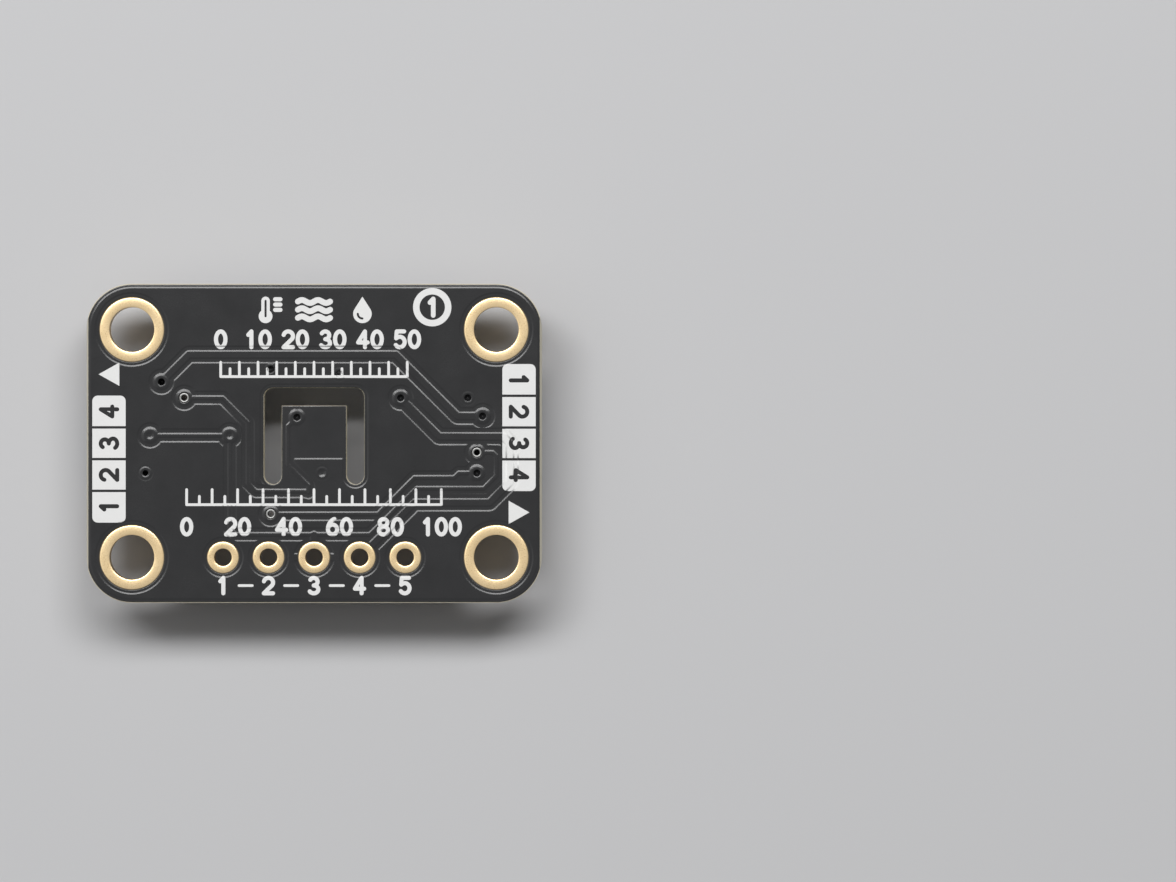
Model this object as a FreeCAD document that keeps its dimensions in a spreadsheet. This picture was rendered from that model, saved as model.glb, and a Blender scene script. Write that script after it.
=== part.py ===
import FreeCAD, Part
import math
import os

import Sketcher
from FreeCAD import Placement, Rotation, Vector

# Temperature and humidity sensor module: a small black circuit board that lies with its
# components down, on the two sockets at its short edges. Lengths in millimetres.
# +X runs along the board, +Y away from the header row, +Z out of the printed back.
# The origin is on the table, under the middle of the board.

SIZES = [
    ("board_length", 25.4, "over the two scored edges"),
    ("board_width", 17.78, "over the two routed edges"),
    ("corner_radius", 2.54, "routed corners"),
    ("core_thickness", 1.475, "glass laminate between the two masks"),
    ("skin_thickness", 0.055, "mask where it lies over copper, and the lands' height"),
    ("copper_thickness", 0.035, "step of the mask at the edge of the copper"),
    ("ink_thickness", 0.015, "white ink over the mask"),
    ("score_width", 0.13, "slope of the score in from the short edge"),
    ("score_depth", 0.5, "slope of the score down from each face"),
    ("slot_width", 1.0, "cutter of the slot round the tongue"),
    ("slot_span", 4.6, "between the middles of the slot's two legs"),
    ("slot_head", 2.6, "middle of the slot's cross pass, from the board's middle"),
    ("slot_foot", 1.79, "end of the legs' middle line, below the board's middle"),
    ("mount_inset", 2.54, "mounting holes in from the edges, both ways"),
    ("mount_bore_radius", 1.25, "finished mounting hole"),
    ("mount_ring_radius", 1.785, "its plated ring"),
    ("header_count", 5, "header holes in the row"),
    ("header_pitch", 2.54, "between header holes"),
    ("header_inset", 2.54, "header row in from the lower edge"),
    ("header_bore_radius", 0.49, "finished header hole"),
    ("header_ring_radius", 0.8715, "its plated ring"),
    ("plating_thickness", 0.035, "barrel walls and rings"),
    ("layout_step", 0.0635, "grid that the vias and traces lie on"),
    ("trace_width", 0.2032, "signal traces"),
    ("wide_trace_width", 0.4064, "supply traces"),
    ("spoke_width", 0.4064, "bridges from the ground pad to the copper round it"),
    ("copper_gap", 0.254, "bare strip between two coppers"),
    ("copper_setback", 0.2, "bare strip between copper and a routed edge"),
    ("mask_margin", 0.05, "mask opening round a ring or a land"),
    ("via_land_radius", 0.4445, "copper round a via"),
    ("via_bore_radius", 0.165, "finished via"),
    ("socket_width", 6.0, "housing along the short edge"),
    ("socket_depth", 4.25, "housing in from the short edge"),
    ("socket_height", 2.95, "housing below the board"),
    ("socket_setback", 0.1, "mating face in from the short edge"),
    ("socket_side_wall", 0.5, "walls at the two ends of the plug space"),
    ("socket_floor", 0.55, "wall on the board"),
    ("socket_roof", 0.45, "wall away from the board"),
    ("socket_cavity_depth", 3.2, "plug space in from the mating face"),
    ("latch_slot_width", 0.7, "slits for the plug's latches in the roof"),
    ("latch_slot_depth", 1.5, "length of the slits"),
    ("latch_slot_offset", 1.75, "middle of a slit from the socket's middle"),
    ("key_width", 0.6, "keyways in the floor"),
    ("key_height", 0.25, "depth of the keyways"),
    ("contact_pitch", 1.0, "between contacts"),
    ("contact_width", 0.3, "across a contact"),
    ("contact_thickness", 0.2, "stock of the contacts and tabs"),
    ("contact_height", 1.45, "middle of a blade above the board"),
    ("contact_setback", 0.8, "tip of a blade behind the mating face"),
    ("contact_foot", 0.6, "soldered foot behind the housing"),
    ("tab_length", 1.2, "tab along the housing's side"),
    ("tab_height", 1.6, "tab up the housing's side"),
    ("tab_foot", 0.1, "soldered foot beside the housing"),
    ("tab_setback", 0.3, "tab behind the mating face"),
    ("sensor_size", 1.5, "square sensor package"),
    ("sensor_height", 0.54, "its height"),
    ("sensor_y", 0.63, "its middle on the tongue"),
    ("sensor_mouth_radius", 0.42, "opening over the die at the top"),
    ("sensor_throat_radius", 0.33, "opening over the die at the bottom"),
    ("sensor_mouth_depth", 0.2, "depth of the opening"),
    ("die_size", 0.46, "square die"),
    ("die_height", 0.1, "die above the opening's floor"),
    ("chip_taper", 8.0, "slope of moulded sides, degrees"),
    ("leg_thickness", 0.13, "stock of the packages' legs"),
    ("regulator_x", 4.45, "middle of the regulator"),
    ("regulator_inset", 3.29, "its middle in from the upper edge"),
    ("regulator_length", 2.9, "package along Y"),
    ("regulator_width", 1.6, "package along X"),
    ("regulator_height", 1.1, "top above the board"),
    ("regulator_span", 2.8, "over the legs"),
    ("regulator_pitch", 0.95, "between legs"),
    ("regulator_leg_width", 0.4, "across a leg"),
    ("shifter_y", -1.45, "middle of the level shifter"),
    ("shifter_length", 2.0, "package along Y"),
    ("shifter_width", 1.25, "package along X"),
    ("shifter_height", 0.95, "top above the board"),
    ("shifter_span", 2.1, "over the legs"),
    ("shifter_pitch", 0.65, "between legs"),
    ("shifter_leg_width", 0.24, "across a leg"),
    ("chip_clearance", 0.05, "air under a moulded package"),
    ("leg_foot", 0.35, "soldered foot of a leg"),
    ("array_y", 2.85, "middle of the resistor array"),
    ("array_length", 3.2, "ceramic block along Y"),
    ("array_width", 1.6, "ceramic block along X"),
    ("array_height", 0.5, "its height"),
    ("array_pitch", 0.8, "between terminals"),
    ("array_terminal_width", 0.44, "across a terminal"),
    ("array_terminal_length", 0.3, "terminal in over the block"),
    ("terminal_skin", 0.03, "tinned wall round a ceramic block"),
    ("terminal_length", 0.42, "large capacitors' terminals"),
    ("capacitor_length", 2.0, "large capacitors, along X"),
    ("capacitor_width", 1.25, "large capacitors"),
    ("capacitor_height", 1.2, "large capacitors"),
    ("capacitor_chamfer", 0.08, "broken long edges"),
    ("input_capacitor_gap", 1.1, "between the header rings and the input capacitor"),
    ("output_capacitor_x", 1.35, "middle of the output capacitor"),
    ("small_capacitor_length", 1.6, "sensor's capacitor, along X"),
    ("small_capacitor_width", 0.8, "sensor's capacitor"),
    ("small_capacitor_height", 0.8, "sensor's capacitor"),
    ("small_terminal_length", 0.33, "its terminals"),
    ("small_capacitor_x", -0.2, "middle of the sensor's capacitor"),
    ("small_capacitor_y", -0.83, "middle of the sensor's capacitor"),
    ("land_margin", 0.2, "land beyond a soldered foot or terminal"),
    ("legend_width", 2.1, "white side block across"),
    ("legend_gap", 0.365, "white side block clear of the mounting rings"),
    ("legend_setback", 0.29, "white side block in from the short edge"),
]

# Vias, in layout steps from the board's middle. The first group joins traces, so bare strips
# go round its lands, and the second lies in the ground copper. The mask covers all but the open
# ones, and only dimples over their bores.
TRACE_VIAS = {
    "supply_left": (-134, 54),
    "supply_right": (148, 24),
    "sensor_line": (-114, 40),
    "clock_left": (-144, 7),
    "clock_middle": (-74, 7),
    "clock_right": (143, -8),
    "data_middle": (-38, -62),
    "data_right": (143, -26),
    "tongue_line": (-15, 23),
    "regulator_out": (76, 40),
}
GROUND_VIAS = {
    "ground_left": (-148, -26),
    "ground_upper_left": (-38, 65),
    "ground_upper_right": (22, 61),
    "ground_tongue": (7, -26),
    "ground_right": (135, 40),
}
OPEN_VIAS = ["sensor_line", "clock_right", "data_middle", "ground_left"]

VIA_STEPS = dict(TRACE_VIAS, **GROUND_VIAS)

# Middle lines of the traces on the back. A point is a via, a header hole or layout steps.
SIGNAL_ROUTES = {
    "sensor_line": ["sensor_line", (-80, 40), (-58, 18), (-58, -35), (-51, -42), (-5, -42)],
    "tongue_line": ["tongue_line", (-23, 15), (-23, -19), (-5, -37), (-5, -43)],
    "clock": ["clock_left", "clock_middle", (-74, -75), (-69, -80), (49, -80), (89.5, -39.5),
              (149, -39.5), (160, -28.5), (160, -11), (157, -8), "clock_right"],
    "data": ["data_middle", (56, -62), (88, -30), (123, -30), (127, -26), "data_right"],
}
SUPPLY_ROUTES = {
    "supply": ["supply_left", (-110, 78), (72, 78), (126, 24), "supply_right"],
    "regulated": ["header_hole_4", (88, -52), (154, -52), (172, -34), (172, 0), (166, 6),
                  (110, 6), "regulator_out"],
}
# The ground copper on the tongue ends here, and at the tongue's line.
TONGUE_COPPER_TOP = -13.5
TONGUE_COPPER_LEFT = -23

doc = FreeCAD.newDocument("SensorModule")
sheet = doc.addObject("Spreadsheet::Sheet", "Sizes")
for row, (alias, number, note) in enumerate(SIZES, 1):
    sheet.set("A%d" % row, alias)
    sheet.set("B%d" % row, str(number))
    sheet.set("C%d" % row, note)
    sheet.setAlias("B%d" % row, alias)
doc.recompute()


class Size:
    """A length that knows its number and its formula in the sheet's names."""

    def __init__(self, value, formula):
        self.value = value
        self.formula = formula

    def __add__(self, other):
        other = as_size(other)
        return Size(self.value + other.value, "(%s + %s)" % (self.formula, other.formula))

    def __sub__(self, other):
        other = as_size(other)
        return Size(self.value - other.value, "(%s - %s)" % (self.formula, other.formula))

    def __mul__(self, other):
        other = as_size(other)
        return Size(self.value * other.value, "(%s * %s)" % (self.formula, other.formula))

    def __truediv__(self, other):
        other = as_size(other)
        return Size(self.value / other.value, "(%s / %s)" % (self.formula, other.formula))

    def __neg__(self):
        return as_size(0) - self


def as_size(number):
    return number if isinstance(number, Size) else Size(float(number), "%.6g" % number)


class Sheet:
    """The sheet's cells, each by its own name."""

    def __getattr__(self, alias):
        return Size(float(sheet.get(alias)), "Sizes." + alias)


d = Sheet()
zero = as_size(0)

# Levels, from the table up: components hang from the mounting face.
mounting_face = d.socket_height
core_bottom = mounting_face + d.skin_thickness
core_top = core_bottom + d.core_thickness
back_face = core_top + d.skin_thickness
slot_radius = d.slot_width / 2
leg_x = d.slot_span / 2
score_at_core = d.score_width * (d.score_depth - d.skin_thickness) / d.score_depth
via_outer_radius = d.via_bore_radius + d.plating_thickness

exports = []


def bind(thing, path, size):
    thing.setExpression(path, as_size(size).formula)


def place(thing, x, y, z, turn=Rotation()):
    """Sets a piece in the shared frame, with its place held by the sheet."""
    spot = [as_size(size) for size in (x, y, z)]
    thing.Placement = Placement(Vector(*[size.value for size in spot]), turn)
    for axis, size in zip("xyz", spot):
        bind(thing, "Placement.Base." + axis, size)


def export(thing, label):
    thing.Label = label
    exports.append(thing)


FACING_DOWN_LEFT = Rotation(Vector(1, 0, 0), 180)
FACING_DOWN_RIGHT = Rotation(Vector(0, 1, 0), 180)


def new_body(name):
    return doc.addObject("PartDesign::Body", name)


def new_sketch(body, name, role, lift=None):
    plane = [item for item in body.Origin.OriginFeatures if item.Role == role][0]
    plan = body.newObject("Sketcher::SketchObject", name)
    plan.AttachmentSupport = [(plane, "")]
    plan.MapMode = "FlatFace"
    if lift is not None:
        bind(plan, "AttachmentOffset.Base.z", lift)
    return plan


def hold(plan, kind, geometry, point, size):
    """Holds one coordinate of a point from the sketch's origin."""
    size = as_size(size)
    index = plan.addConstraint(Sketcher.Constraint(kind, -1, 1, geometry, point, size.value))
    name = "held%d" % index
    plan.renameConstraint(index, name)
    plan.setExpression("Constraints." + name, size.formula)


def outline(plan, corners):
    """Closed outline, anticlockwise. A corner is (x, y), or (x, y, (centre)) where an arc leaves it."""
    corners = [tuple(as_size(n) for n in corner[:2]) + tuple(corner[2:]) for corner in corners]
    first = plan.GeometryCount
    count = len(corners)
    for index, corner in enumerate(corners):
        after = corners[(index + 1) % count]
        start = Vector(corner[0].value, corner[1].value, 0)
        end = Vector(after[0].value, after[1].value, 0)
        if len(corner) == 2:
            plan.addGeometry(Part.LineSegment(start, end), False)
            continue
        centre = Vector(corner[2][0].value, corner[2][1].value, 0)
        from_angle = math.atan2(start.y - centre.y, start.x - centre.x)
        to_angle = math.atan2(end.y - centre.y, end.x - centre.x)
        ring = Part.Circle(centre, Vector(0, 0, 1), (start - centre).Length)
        plan.addGeometry(Part.ArcOfCircle(ring, from_angle, to_angle), False)
    for index, corner in enumerate(corners):
        geometry = first + index
        following = first + (index + 1) % count
        plan.addConstraint(Sketcher.Constraint("Coincident", geometry, 2, following, 1))
        hold(plan, "DistanceX", geometry, 1, corner[0])
        hold(plan, "DistanceY", geometry, 1, corner[1])
        if len(corner) == 2:
            continue
        upright_chord = abs(corner[0].value - corners[(index + 1) % count][0].value) < 1e-9
        if upright_chord:
            hold(plan, "DistanceX", geometry, 3, corner[2][0])
        else:
            hold(plan, "DistanceY", geometry, 3, corner[2][1])


def box_outline(plan, x0, x1, y0, y1):
    outline(plan, [(x0, y0), (x1, y0), (x1, y1), (x0, y1)])


def rounded_outline(plan, length, width, radius):
    """Rectangle about the origin with round corners."""
    far_x = length / 2
    far_y = width / 2
    near_x = far_x - radius
    near_y = far_y - radius
    outline(plan, [
        (-near_x, -far_y), (near_x, -far_y, (near_x, -near_y)),
        (far_x, -near_y), (far_x, near_y, (near_x, near_y)),
        (near_x, far_y), (-near_x, far_y, (-near_x, near_y)),
        (-far_x, near_y), (-far_x, -near_y, (-near_x, -near_y)),
    ])


def circle(plan, x, y, radius):
    x, y, radius = as_size(x), as_size(y), as_size(radius)
    centre = Vector(x.value, y.value, 0)
    geometry = plan.addGeometry(Part.Circle(centre, Vector(0, 0, 1), radius.value), False)
    hold(plan, "DistanceX", geometry, 3, x)
    hold(plan, "DistanceY", geometry, 3, y)
    index = plan.addConstraint(Sketcher.Constraint("Radius", geometry, radius.value))
    name = "radius%d" % index
    plan.renameConstraint(index, name)
    plan.setExpression("Constraints." + name, radius.formula)


def pad(body, name, plan, length, midplane=False, backwards=False, taper=None):
    feature = body.newObject("PartDesign::Pad", name)
    feature.Profile = plan
    bind(feature, "Length", length)
    feature.Midplane = midplane
    feature.Reversed = backwards
    if taper is not None:
        bind(feature, "TaperAngle", taper)
    return feature


def pocket(body, name, plan, depth, midplane=False, backwards=False):
    feature = body.newObject("PartDesign::Pocket", name)
    feature.Profile = plan
    bind(feature, "Length", depth)
    feature.Midplane = midplane
    feature.Reversed = backwards
    return feature


# Circuit board: glass laminate, routed outline, scored short edges, slot round the tongue.
SLOT_PASSES = {
    "LeftLeg": (-leg_x, -d.slot_foot, -leg_x, d.slot_head),
    "RightLeg": (leg_x, -d.slot_foot, leg_x, d.slot_head),
    "CrossPass": (-leg_x, d.slot_head, leg_x, d.slot_head),
}


def pass_outline(plan, x0, y0, x1, y1, radius):
    """Outline of one straight pass of a round cutter, upright or level."""
    if abs(x0.value - x1.value) < 1e-9:
        outline(plan, [
            (x0 + radius, y0), (x1 + radius, y1, (x1, y1)),
            (x1 - radius, y1), (x0 - radius, y0, (x0, y0)),
        ])
    else:
        outline(plan, [
            (x0, y0 - radius), (x1, y1 - radius, (x1, y1)),
            (x1, y1 + radius), (x0, y0 + radius, (x0, y0)),
        ])


TENTED_VIAS = [name for name in VIA_STEPS if name not in OPEN_VIAS]
mount_x = d.board_length / 2 - d.mount_inset
mount_y = d.board_width / 2 - d.mount_inset
MOUNT_PLACES = {
    "mounting_hole_upper_left": (-mount_x, mount_y),
    "mounting_hole_upper_right": (mount_x, mount_y),
    "mounting_hole_lower_left": (-mount_x, -mount_y),
    "mounting_hole_lower_right": (mount_x, -mount_y),
}
header_count = int(round(d.header_count.value))
header_y = d.header_inset - d.board_width / 2
first_header_x = -d.header_pitch * (d.header_count - 1) / 2
HEADER_PLACES = {
    "header_hole_%d" % (n + 1): (first_header_x + d.header_pitch * n, header_y)
    for n in range(header_count)
}
# Sides of the many-sided tools that shape the small round coppers and openings.
MOUNT_SIDES, BARREL_SIDES, HEADER_SIDES, LAND_SIDES, VIA_SIDES = 20, 20, 12, 8, 8
through = d.core_thickness * 2


def layout_place(point):
    """Place of a via or a header hole by its name, or of a point given in layout steps."""
    if point in HEADER_PLACES:
        return HEADER_PLACES[point]
    x, y = VIA_STEPS.get(point, point)
    return d.layout_step * x, d.layout_step * y


def corners_round(x, y, radius, sides):
    """Corners of a regular outline, with flat sides facing along both axes."""
    angles = [math.pi * (2 * n + 1) / sides for n in range(sides)]
    return [(x + radius * math.cos(angle), y + radius * math.sin(angle)) for angle in angles]


board = new_body("Board")
plan = new_sketch(board, "BoardOutline", "XY_Plane")
rounded_outline(plan, d.board_length, d.board_width, d.corner_radius)
pad(board, "Laminate", plan, d.core_thickness)
for name, (x0, y0, x1, y1) in SLOT_PASSES.items():
    plan = new_sketch(board, name, "XY_Plane")
    pass_outline(plan, x0, y0, x1, y1, slot_radius)
    pocket(board, name + "Cut", plan, through, midplane=True)
plan = new_sketch(board, "MountingHoles", "XY_Plane")
for x, y in MOUNT_PLACES.values():
    circle(plan, x, y, d.mount_bore_radius + d.plating_thickness)
pocket(board, "MountingHoleCut", plan, through, midplane=True)
plan = new_sketch(board, "FirstHeaderHole", "XY_Plane")
circle(plan, first_header_x, header_y, d.header_bore_radius + d.plating_thickness)
header_hole = pocket(board, "FirstHeaderHoleCut", plan, through, midplane=True)
doc.recompute()
header_row = board.newObject("PartDesign::LinearPattern", "HeaderHoles")
header_row.Originals = [header_hole]
header_row.Direction = (plan, ["H_Axis"])
bind(header_row, "Length", d.header_pitch * (d.header_count - 1))
header_row.Occurrences = header_count
board.Tip = header_row
plan = new_sketch(board, "Scores", "XZ_Plane")
edge_x = d.board_length / 2
slope = d.score_depth - d.skin_thickness
outline(plan, [(edge_x - score_at_core, zero), (edge_x, zero), (edge_x, slope)])
outline(plan, [(edge_x, d.core_thickness - slope), (edge_x, d.core_thickness),
               (edge_x - score_at_core, d.core_thickness)])
outline(plan, [(-edge_x, zero), (score_at_core - edge_x, zero), (-edge_x, slope)])
outline(plan, [(-edge_x, d.core_thickness - slope),
               (score_at_core - edge_x, d.core_thickness), (-edge_x, d.core_thickness)])
pocket(board, "ScoreCut", plan, d.board_width * 2, midplane=True)
place(board, zero, zero, core_bottom)
drills = []
for name in OPEN_VIAS:
    drill = doc.addObject("Part::Prism", "Drill_" + name)
    drill.Polygon = VIA_SIDES
    bind(drill, "Circumradius", via_outer_radius)
    bind(drill, "Height", d.core_thickness)
    x, y = layout_place(name)
    place(drill, x, y, core_bottom, Rotation(Vector(0, 0, 1), 180 / VIA_SIDES))
    drills.append(drill)
via_drills = doc.addObject("Part::Compound", "ViaDrills")
via_drills.Links = drills
drilled_board = doc.addObject("Part::Cut", "DrilledBoard")
drilled_board.Base = board
drilled_board.Tool = via_drills
export(drilled_board, "circuit_board")


def rod(x, y, z, radius, height):
    """Upright cylinder from numbers of the sheet."""
    return Part.makeCylinder(radius.value, height.value, Vector(x.value, y.value, z.value))


def disc(x, y, z, radius, height, sides):
    """Upright prism with this many sides in the place of a cylinder."""
    rim = [Vector(px.value, py.value, z.value) for px, py in corners_round(x, y, radius, sides)]
    return Part.Face(Part.makePolygon(rim + rim[:1])).extrude(Vector(0, 0, height.value))


def block(x0, x1, y0, y1, z, height):
    """Upright box between two corners."""
    corner = Vector(x0.value, y0.value, z.value)
    return Part.makeBox((x1 - x0).value, (y1 - y0).value, height.value, corner)


def part_feature(name, shape, label):
    thing = doc.addObject("Part::Feature", name)
    thing.Shape = shape
    export(thing, label)


def mounting_barrel(name, x, y):
    """Plated hole: a thin barrel through the laminate with a flat ring on each face."""
    bore_radius = d.mount_bore_radius
    ring_radius = d.mount_ring_radius
    body = new_body(name)
    plan = new_sketch(body, name + "Section", "XZ_Plane")
    wall = bore_radius + d.plating_thickness
    outline(plan, [
        (bore_radius, -d.plating_thickness), (ring_radius, -d.plating_thickness),
        (ring_radius, zero), (wall, zero), (wall, d.core_thickness),
        (ring_radius, d.core_thickness), (ring_radius, d.core_thickness + d.plating_thickness),
        (bore_radius, d.core_thickness + d.plating_thickness),
    ])
    turned = body.newObject("PartDesign::Revolution", name + "Turned")
    turned.Profile = plan
    turned.ReferenceAxis = (plan, ["V_Axis"])
    turned.Angle = 360
    place(body, x, y, core_bottom)
    return body


for name, (x, y) in MOUNT_PLACES.items():
    export(mounting_barrel(name, x, y), name)


def header_barrel(x, y):
    """The same section as a mounting hole's, with many flat sides in place of the round ones."""
    skin = d.plating_thickness
    wall = d.header_bore_radius + skin
    clear_bore = d.header_bore_radius / math.cos(math.pi / BARREL_SIDES)
    low = core_bottom - skin
    lower_ring = disc(x, y, low, d.header_ring_radius, skin, BARREL_SIDES)
    tube = disc(x, y, core_bottom, wall, d.core_thickness, BARREL_SIDES)
    upper_ring = disc(x, y, core_top, d.header_ring_radius, skin, BARREL_SIDES)
    bore = disc(x, y, low, clear_bore, d.core_thickness + skin * 2, BARREL_SIDES)
    return lower_ring.fuse([tube, upper_ring]).cut(bore)


for name, (x, y) in HEADER_PLACES.items():
    part_feature("Barrel_" + name, header_barrel(x, y), name)

# Via barrels: plain tubes through the laminate, for the vias that the mask leaves open.
tubes = []
for x, y in map(layout_place, OPEN_VIAS):
    tube = disc(x, y, core_bottom, via_outer_radius, d.core_thickness, VIA_SIDES)
    bore = disc(x, y, core_bottom, d.via_bore_radius, d.core_thickness, VIA_SIDES)
    tubes.append(tube.cut(bore))
part_feature("ViaBarrels", Part.makeCompound(tubes), "via_barrels")


# Masks: thin skins that follow the copper under them.
def rounded_plate(length, width, radius, z, height):
    box = Part.makeBox(length.value, width.value, height.value,
                       Vector(-length.value / 2, -width.value / 2, z.value))
    upright = [edge for edge in box.Edges if abs(edge.tangentAt(edge.FirstParameter).z) > 0.99]
    return box.makeFillet(radius.value, upright)


def slot_prisms(radius, z, height):
    """The slot's three passes, each a straight run with round ends."""
    prisms = []
    for x0, y0, x1, y1 in SLOT_PASSES.values():
        across = radius if x0.value == x1.value else zero
        along = zero if x0.value == x1.value else radius
        run = block(x0 - across, x1 + across, y0 - along, y1 + along, z, height)
        prisms.append(run.fuse([rod(x0, y0, z, radius, height), rod(x1, y1, z, radius, height)]))
    return prisms


def trace_prisms(route, width, z, height):
    """Strip of one width along a route: a run for each straight, long enough to mitre the turns."""
    points = [Vector(x.value, y.value, z.value) for x, y in map(layout_place, route)]
    heads = [(end - start).normalize() for start, end in zip(points, points[1:])]
    half = width.value / 2
    overruns = [half * math.tan(before.getAngle(after) / 2)
                for before, after in zip(heads, heads[1:])]
    overruns = [0] + overruns + [0]
    runs = []
    for index, head in enumerate(heads):
        start = points[index] - head * overruns[index]
        end = points[index + 1] + head * overruns[index + 1]
        side = Vector(-head.y, head.x, 0) * half
        rim = [start + side, start - side, end - side, end + side, start + side]
        runs.append(Part.Face(Part.makePolygon(rim)).extrude(Vector(0, 0, height.value)))
    return runs


def back_traces(extra, z, height):
    strips = []
    for route in SIGNAL_ROUTES.values():
        strips += trace_prisms(route, d.trace_width + extra * 2, z, height)
    for route in SUPPLY_ROUTES.values():
        strips += trace_prisms(route, d.wide_trace_width + extra * 2, z, height)
    return strips


def rings(extra, z, height):
    """Discs a little larger than every ring of the plated holes."""
    discs = [disc(x, y, z, d.mount_ring_radius + extra, height, MOUNT_SIDES)
             for x, y in MOUNT_PLACES.values()]
    discs += [disc(x, y, z, d.header_ring_radius + extra, height, HEADER_SIDES)
              for x, y in HEADER_PLACES.values()]
    return discs


def trace_lands(extra, z, height):
    return [disc(x, y, z, d.via_land_radius + extra, height, LAND_SIDES)
            for x, y in map(layout_place, TRACE_VIAS)]


mask_length = d.board_length - d.score_width * 2
film = d.skin_thickness - d.copper_thickness
step_level = core_top + film


def copper_plate(z, height):
    """All the room that the copper may take, set back from the edges."""
    setback = d.copper_setback
    return rounded_plate(d.board_length - setback * 2, d.board_width - setback * 2,
                         d.corner_radius - setback, z, height)


def ground_copper(z, height):
    """Copper of the back that the traces and rings leave."""
    inner_right = leg_x - slot_radius
    bare_left = d.layout_step * TONGUE_COPPER_LEFT
    bare_top = d.layout_step * TONGUE_COPPER_TOP
    bare = block(-inner_right, inner_right, bare_top, d.slot_head, z, height)
    beside = block(-inner_right, bare_left, -d.slot_foot, d.slot_head, z, height)
    gone = slot_prisms(slot_radius + d.copper_setback, z, height) + [bare, beside]
    gone += back_traces(d.copper_gap, z, height)
    gone += rings(d.copper_gap, z, height)
    gone += trace_lands(d.copper_gap, z, height)
    return copper_plate(z, height).cut(gone)


def spokes(z, height):
    """Three bridges that join the middle header ring to the ground copper round it."""
    x, y = HEADER_PLACES["header_hole_%d" % (header_count // 2 + 1)]
    reach = d.header_ring_radius + d.copper_gap * 1.5
    half = d.spoke_width / 2
    return [block(x - reach, x + reach, y - half, y + half, z, height),
            block(x - half, x + half, y - reach, y, z, height)]


def clipped_outline(z, height):
    """Board outline between the two scores."""
    plate = rounded_plate(d.board_length, d.board_width, d.corner_radius, z, height)
    between = block(-mask_length / 2, mask_length / 2, -d.board_width, d.board_width, z, height)
    return plate.common(between)


film_plate = clipped_outline(core_top, film)
raised = ground_copper(step_level, d.copper_thickness)
raised = raised.fuse(back_traces(zero, step_level, d.copper_thickness)
                     + trace_lands(zero, step_level, d.copper_thickness)
                     + spokes(step_level, d.copper_thickness))
raised = raised.common(copper_plate(step_level, d.copper_thickness))
openings = rings(d.mask_margin, core_top, d.skin_thickness)
openings += slot_prisms(slot_radius, core_top, d.skin_thickness)
openings += [disc(x, y, core_top, via_outer_radius + d.mask_margin, d.skin_thickness, VIA_SIDES)
             for x, y in map(layout_place, OPEN_VIAS)]
openings += [disc(x, y, step_level, d.via_bore_radius, d.copper_thickness, VIA_SIDES)
             for x, y in map(layout_place, TENTED_VIAS)]
back_mask = film_plate.fuse(raised).cut(openings).removeSplitter()
part_feature("BackMask", back_mask, "back_solder_mask")


# Lands of the component side, each as (middle x, middle y, length, width), from the feet on it.
def leg_places(length_pitch, sides):
    """Places of a package's legs: (side, offset) with side -1 or 1 along X."""
    return [(side, length_pitch * step) for side, steps in sides.items() for step in steps]


REGULATOR_LEGS = leg_places(d.regulator_pitch, {-1: (-1, 0, 1), 1: (-1, 1)})
SHIFTER_LEGS = leg_places(d.shifter_pitch, {-1: (-1, 0, 1), 1: (-1, 0, 1)})
SOCKET_SIDES = {"left": -1, "right": 1}
mating_x = edge_x - d.socket_setback
rear_x = mating_x - d.socket_depth
# Small parts stand midway between the slot and the contacts' feet, or by the routed edges.
beside_x = (leg_x + slot_radius + rear_x - d.contact_foot) / 2
regulator_y = d.board_width / 2 - d.regulator_inset
input_capacitor_y = (header_y + d.header_ring_radius + d.input_capacitor_gap
                     + d.capacitor_width / 2)
CONTACT_STEPS = (-1.5, -0.5, 0.5, 1.5)
lands = []
for side in SOCKET_SIDES.values():
    for number in CONTACT_STEPS:
        land_length = d.contact_foot + d.land_margin * 2
        lands.append(((rear_x - d.contact_foot / 2) * side, d.contact_pitch * number,
                      land_length, d.contact_width + d.land_margin))
    for edge in (-1, 1):
        lands.append(((mating_x - d.tab_setback - d.tab_length / 2) * side,
                      (d.socket_width / 2 + d.tab_foot / 2 - d.contact_thickness / 2) * edge,
                      d.tab_length + d.land_margin, d.tab_foot + d.contact_thickness + d.land_margin))
for x, y, span, width, legs in (
        (d.regulator_x, regulator_y, d.regulator_span, d.regulator_leg_width, REGULATOR_LEGS),
        (-beside_x, d.shifter_y, d.shifter_span, d.shifter_leg_width, SHIFTER_LEGS)):
    for side, offset in legs:
        lands.append((x + (span / 2 - d.leg_foot / 2) * side, y + offset,
                      d.leg_foot + d.land_margin * 2, width + d.land_margin))
for x, y, length, width, terminal in (
        (beside_x, input_capacitor_y, d.capacitor_length, d.capacitor_width, d.terminal_length),
        (d.output_capacitor_x, regulator_y, d.capacitor_length, d.capacitor_width,
         d.terminal_length),
        (d.small_capacitor_x, d.small_capacitor_y, d.small_capacitor_length,
         d.small_capacitor_width, d.small_terminal_length)):
    for side in (-1, 1):
        lands.append((x + (length / 2 - terminal / 2 + d.land_margin / 2) * side, y,
                      terminal + d.land_margin, width))
ARRAY_STEPS = (-1.5, -0.5, 0.5, 1.5)
for side in (-1, 1):
    for number in ARRAY_STEPS:
        lands.append(((d.array_width / 2) * side - beside_x, d.array_y + d.array_pitch * number,
                      d.array_terminal_length * 2 + d.land_margin, d.array_terminal_width))
sensor_land_offset = d.sensor_size / 2 - d.land_margin
for side in (-1, 1):
    for step in (-1, 1):
        lands.append((sensor_land_offset * side, d.sensor_y + (d.sensor_size / 4) * step,
                      d.land_margin * 2, d.land_margin * 2))


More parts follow.
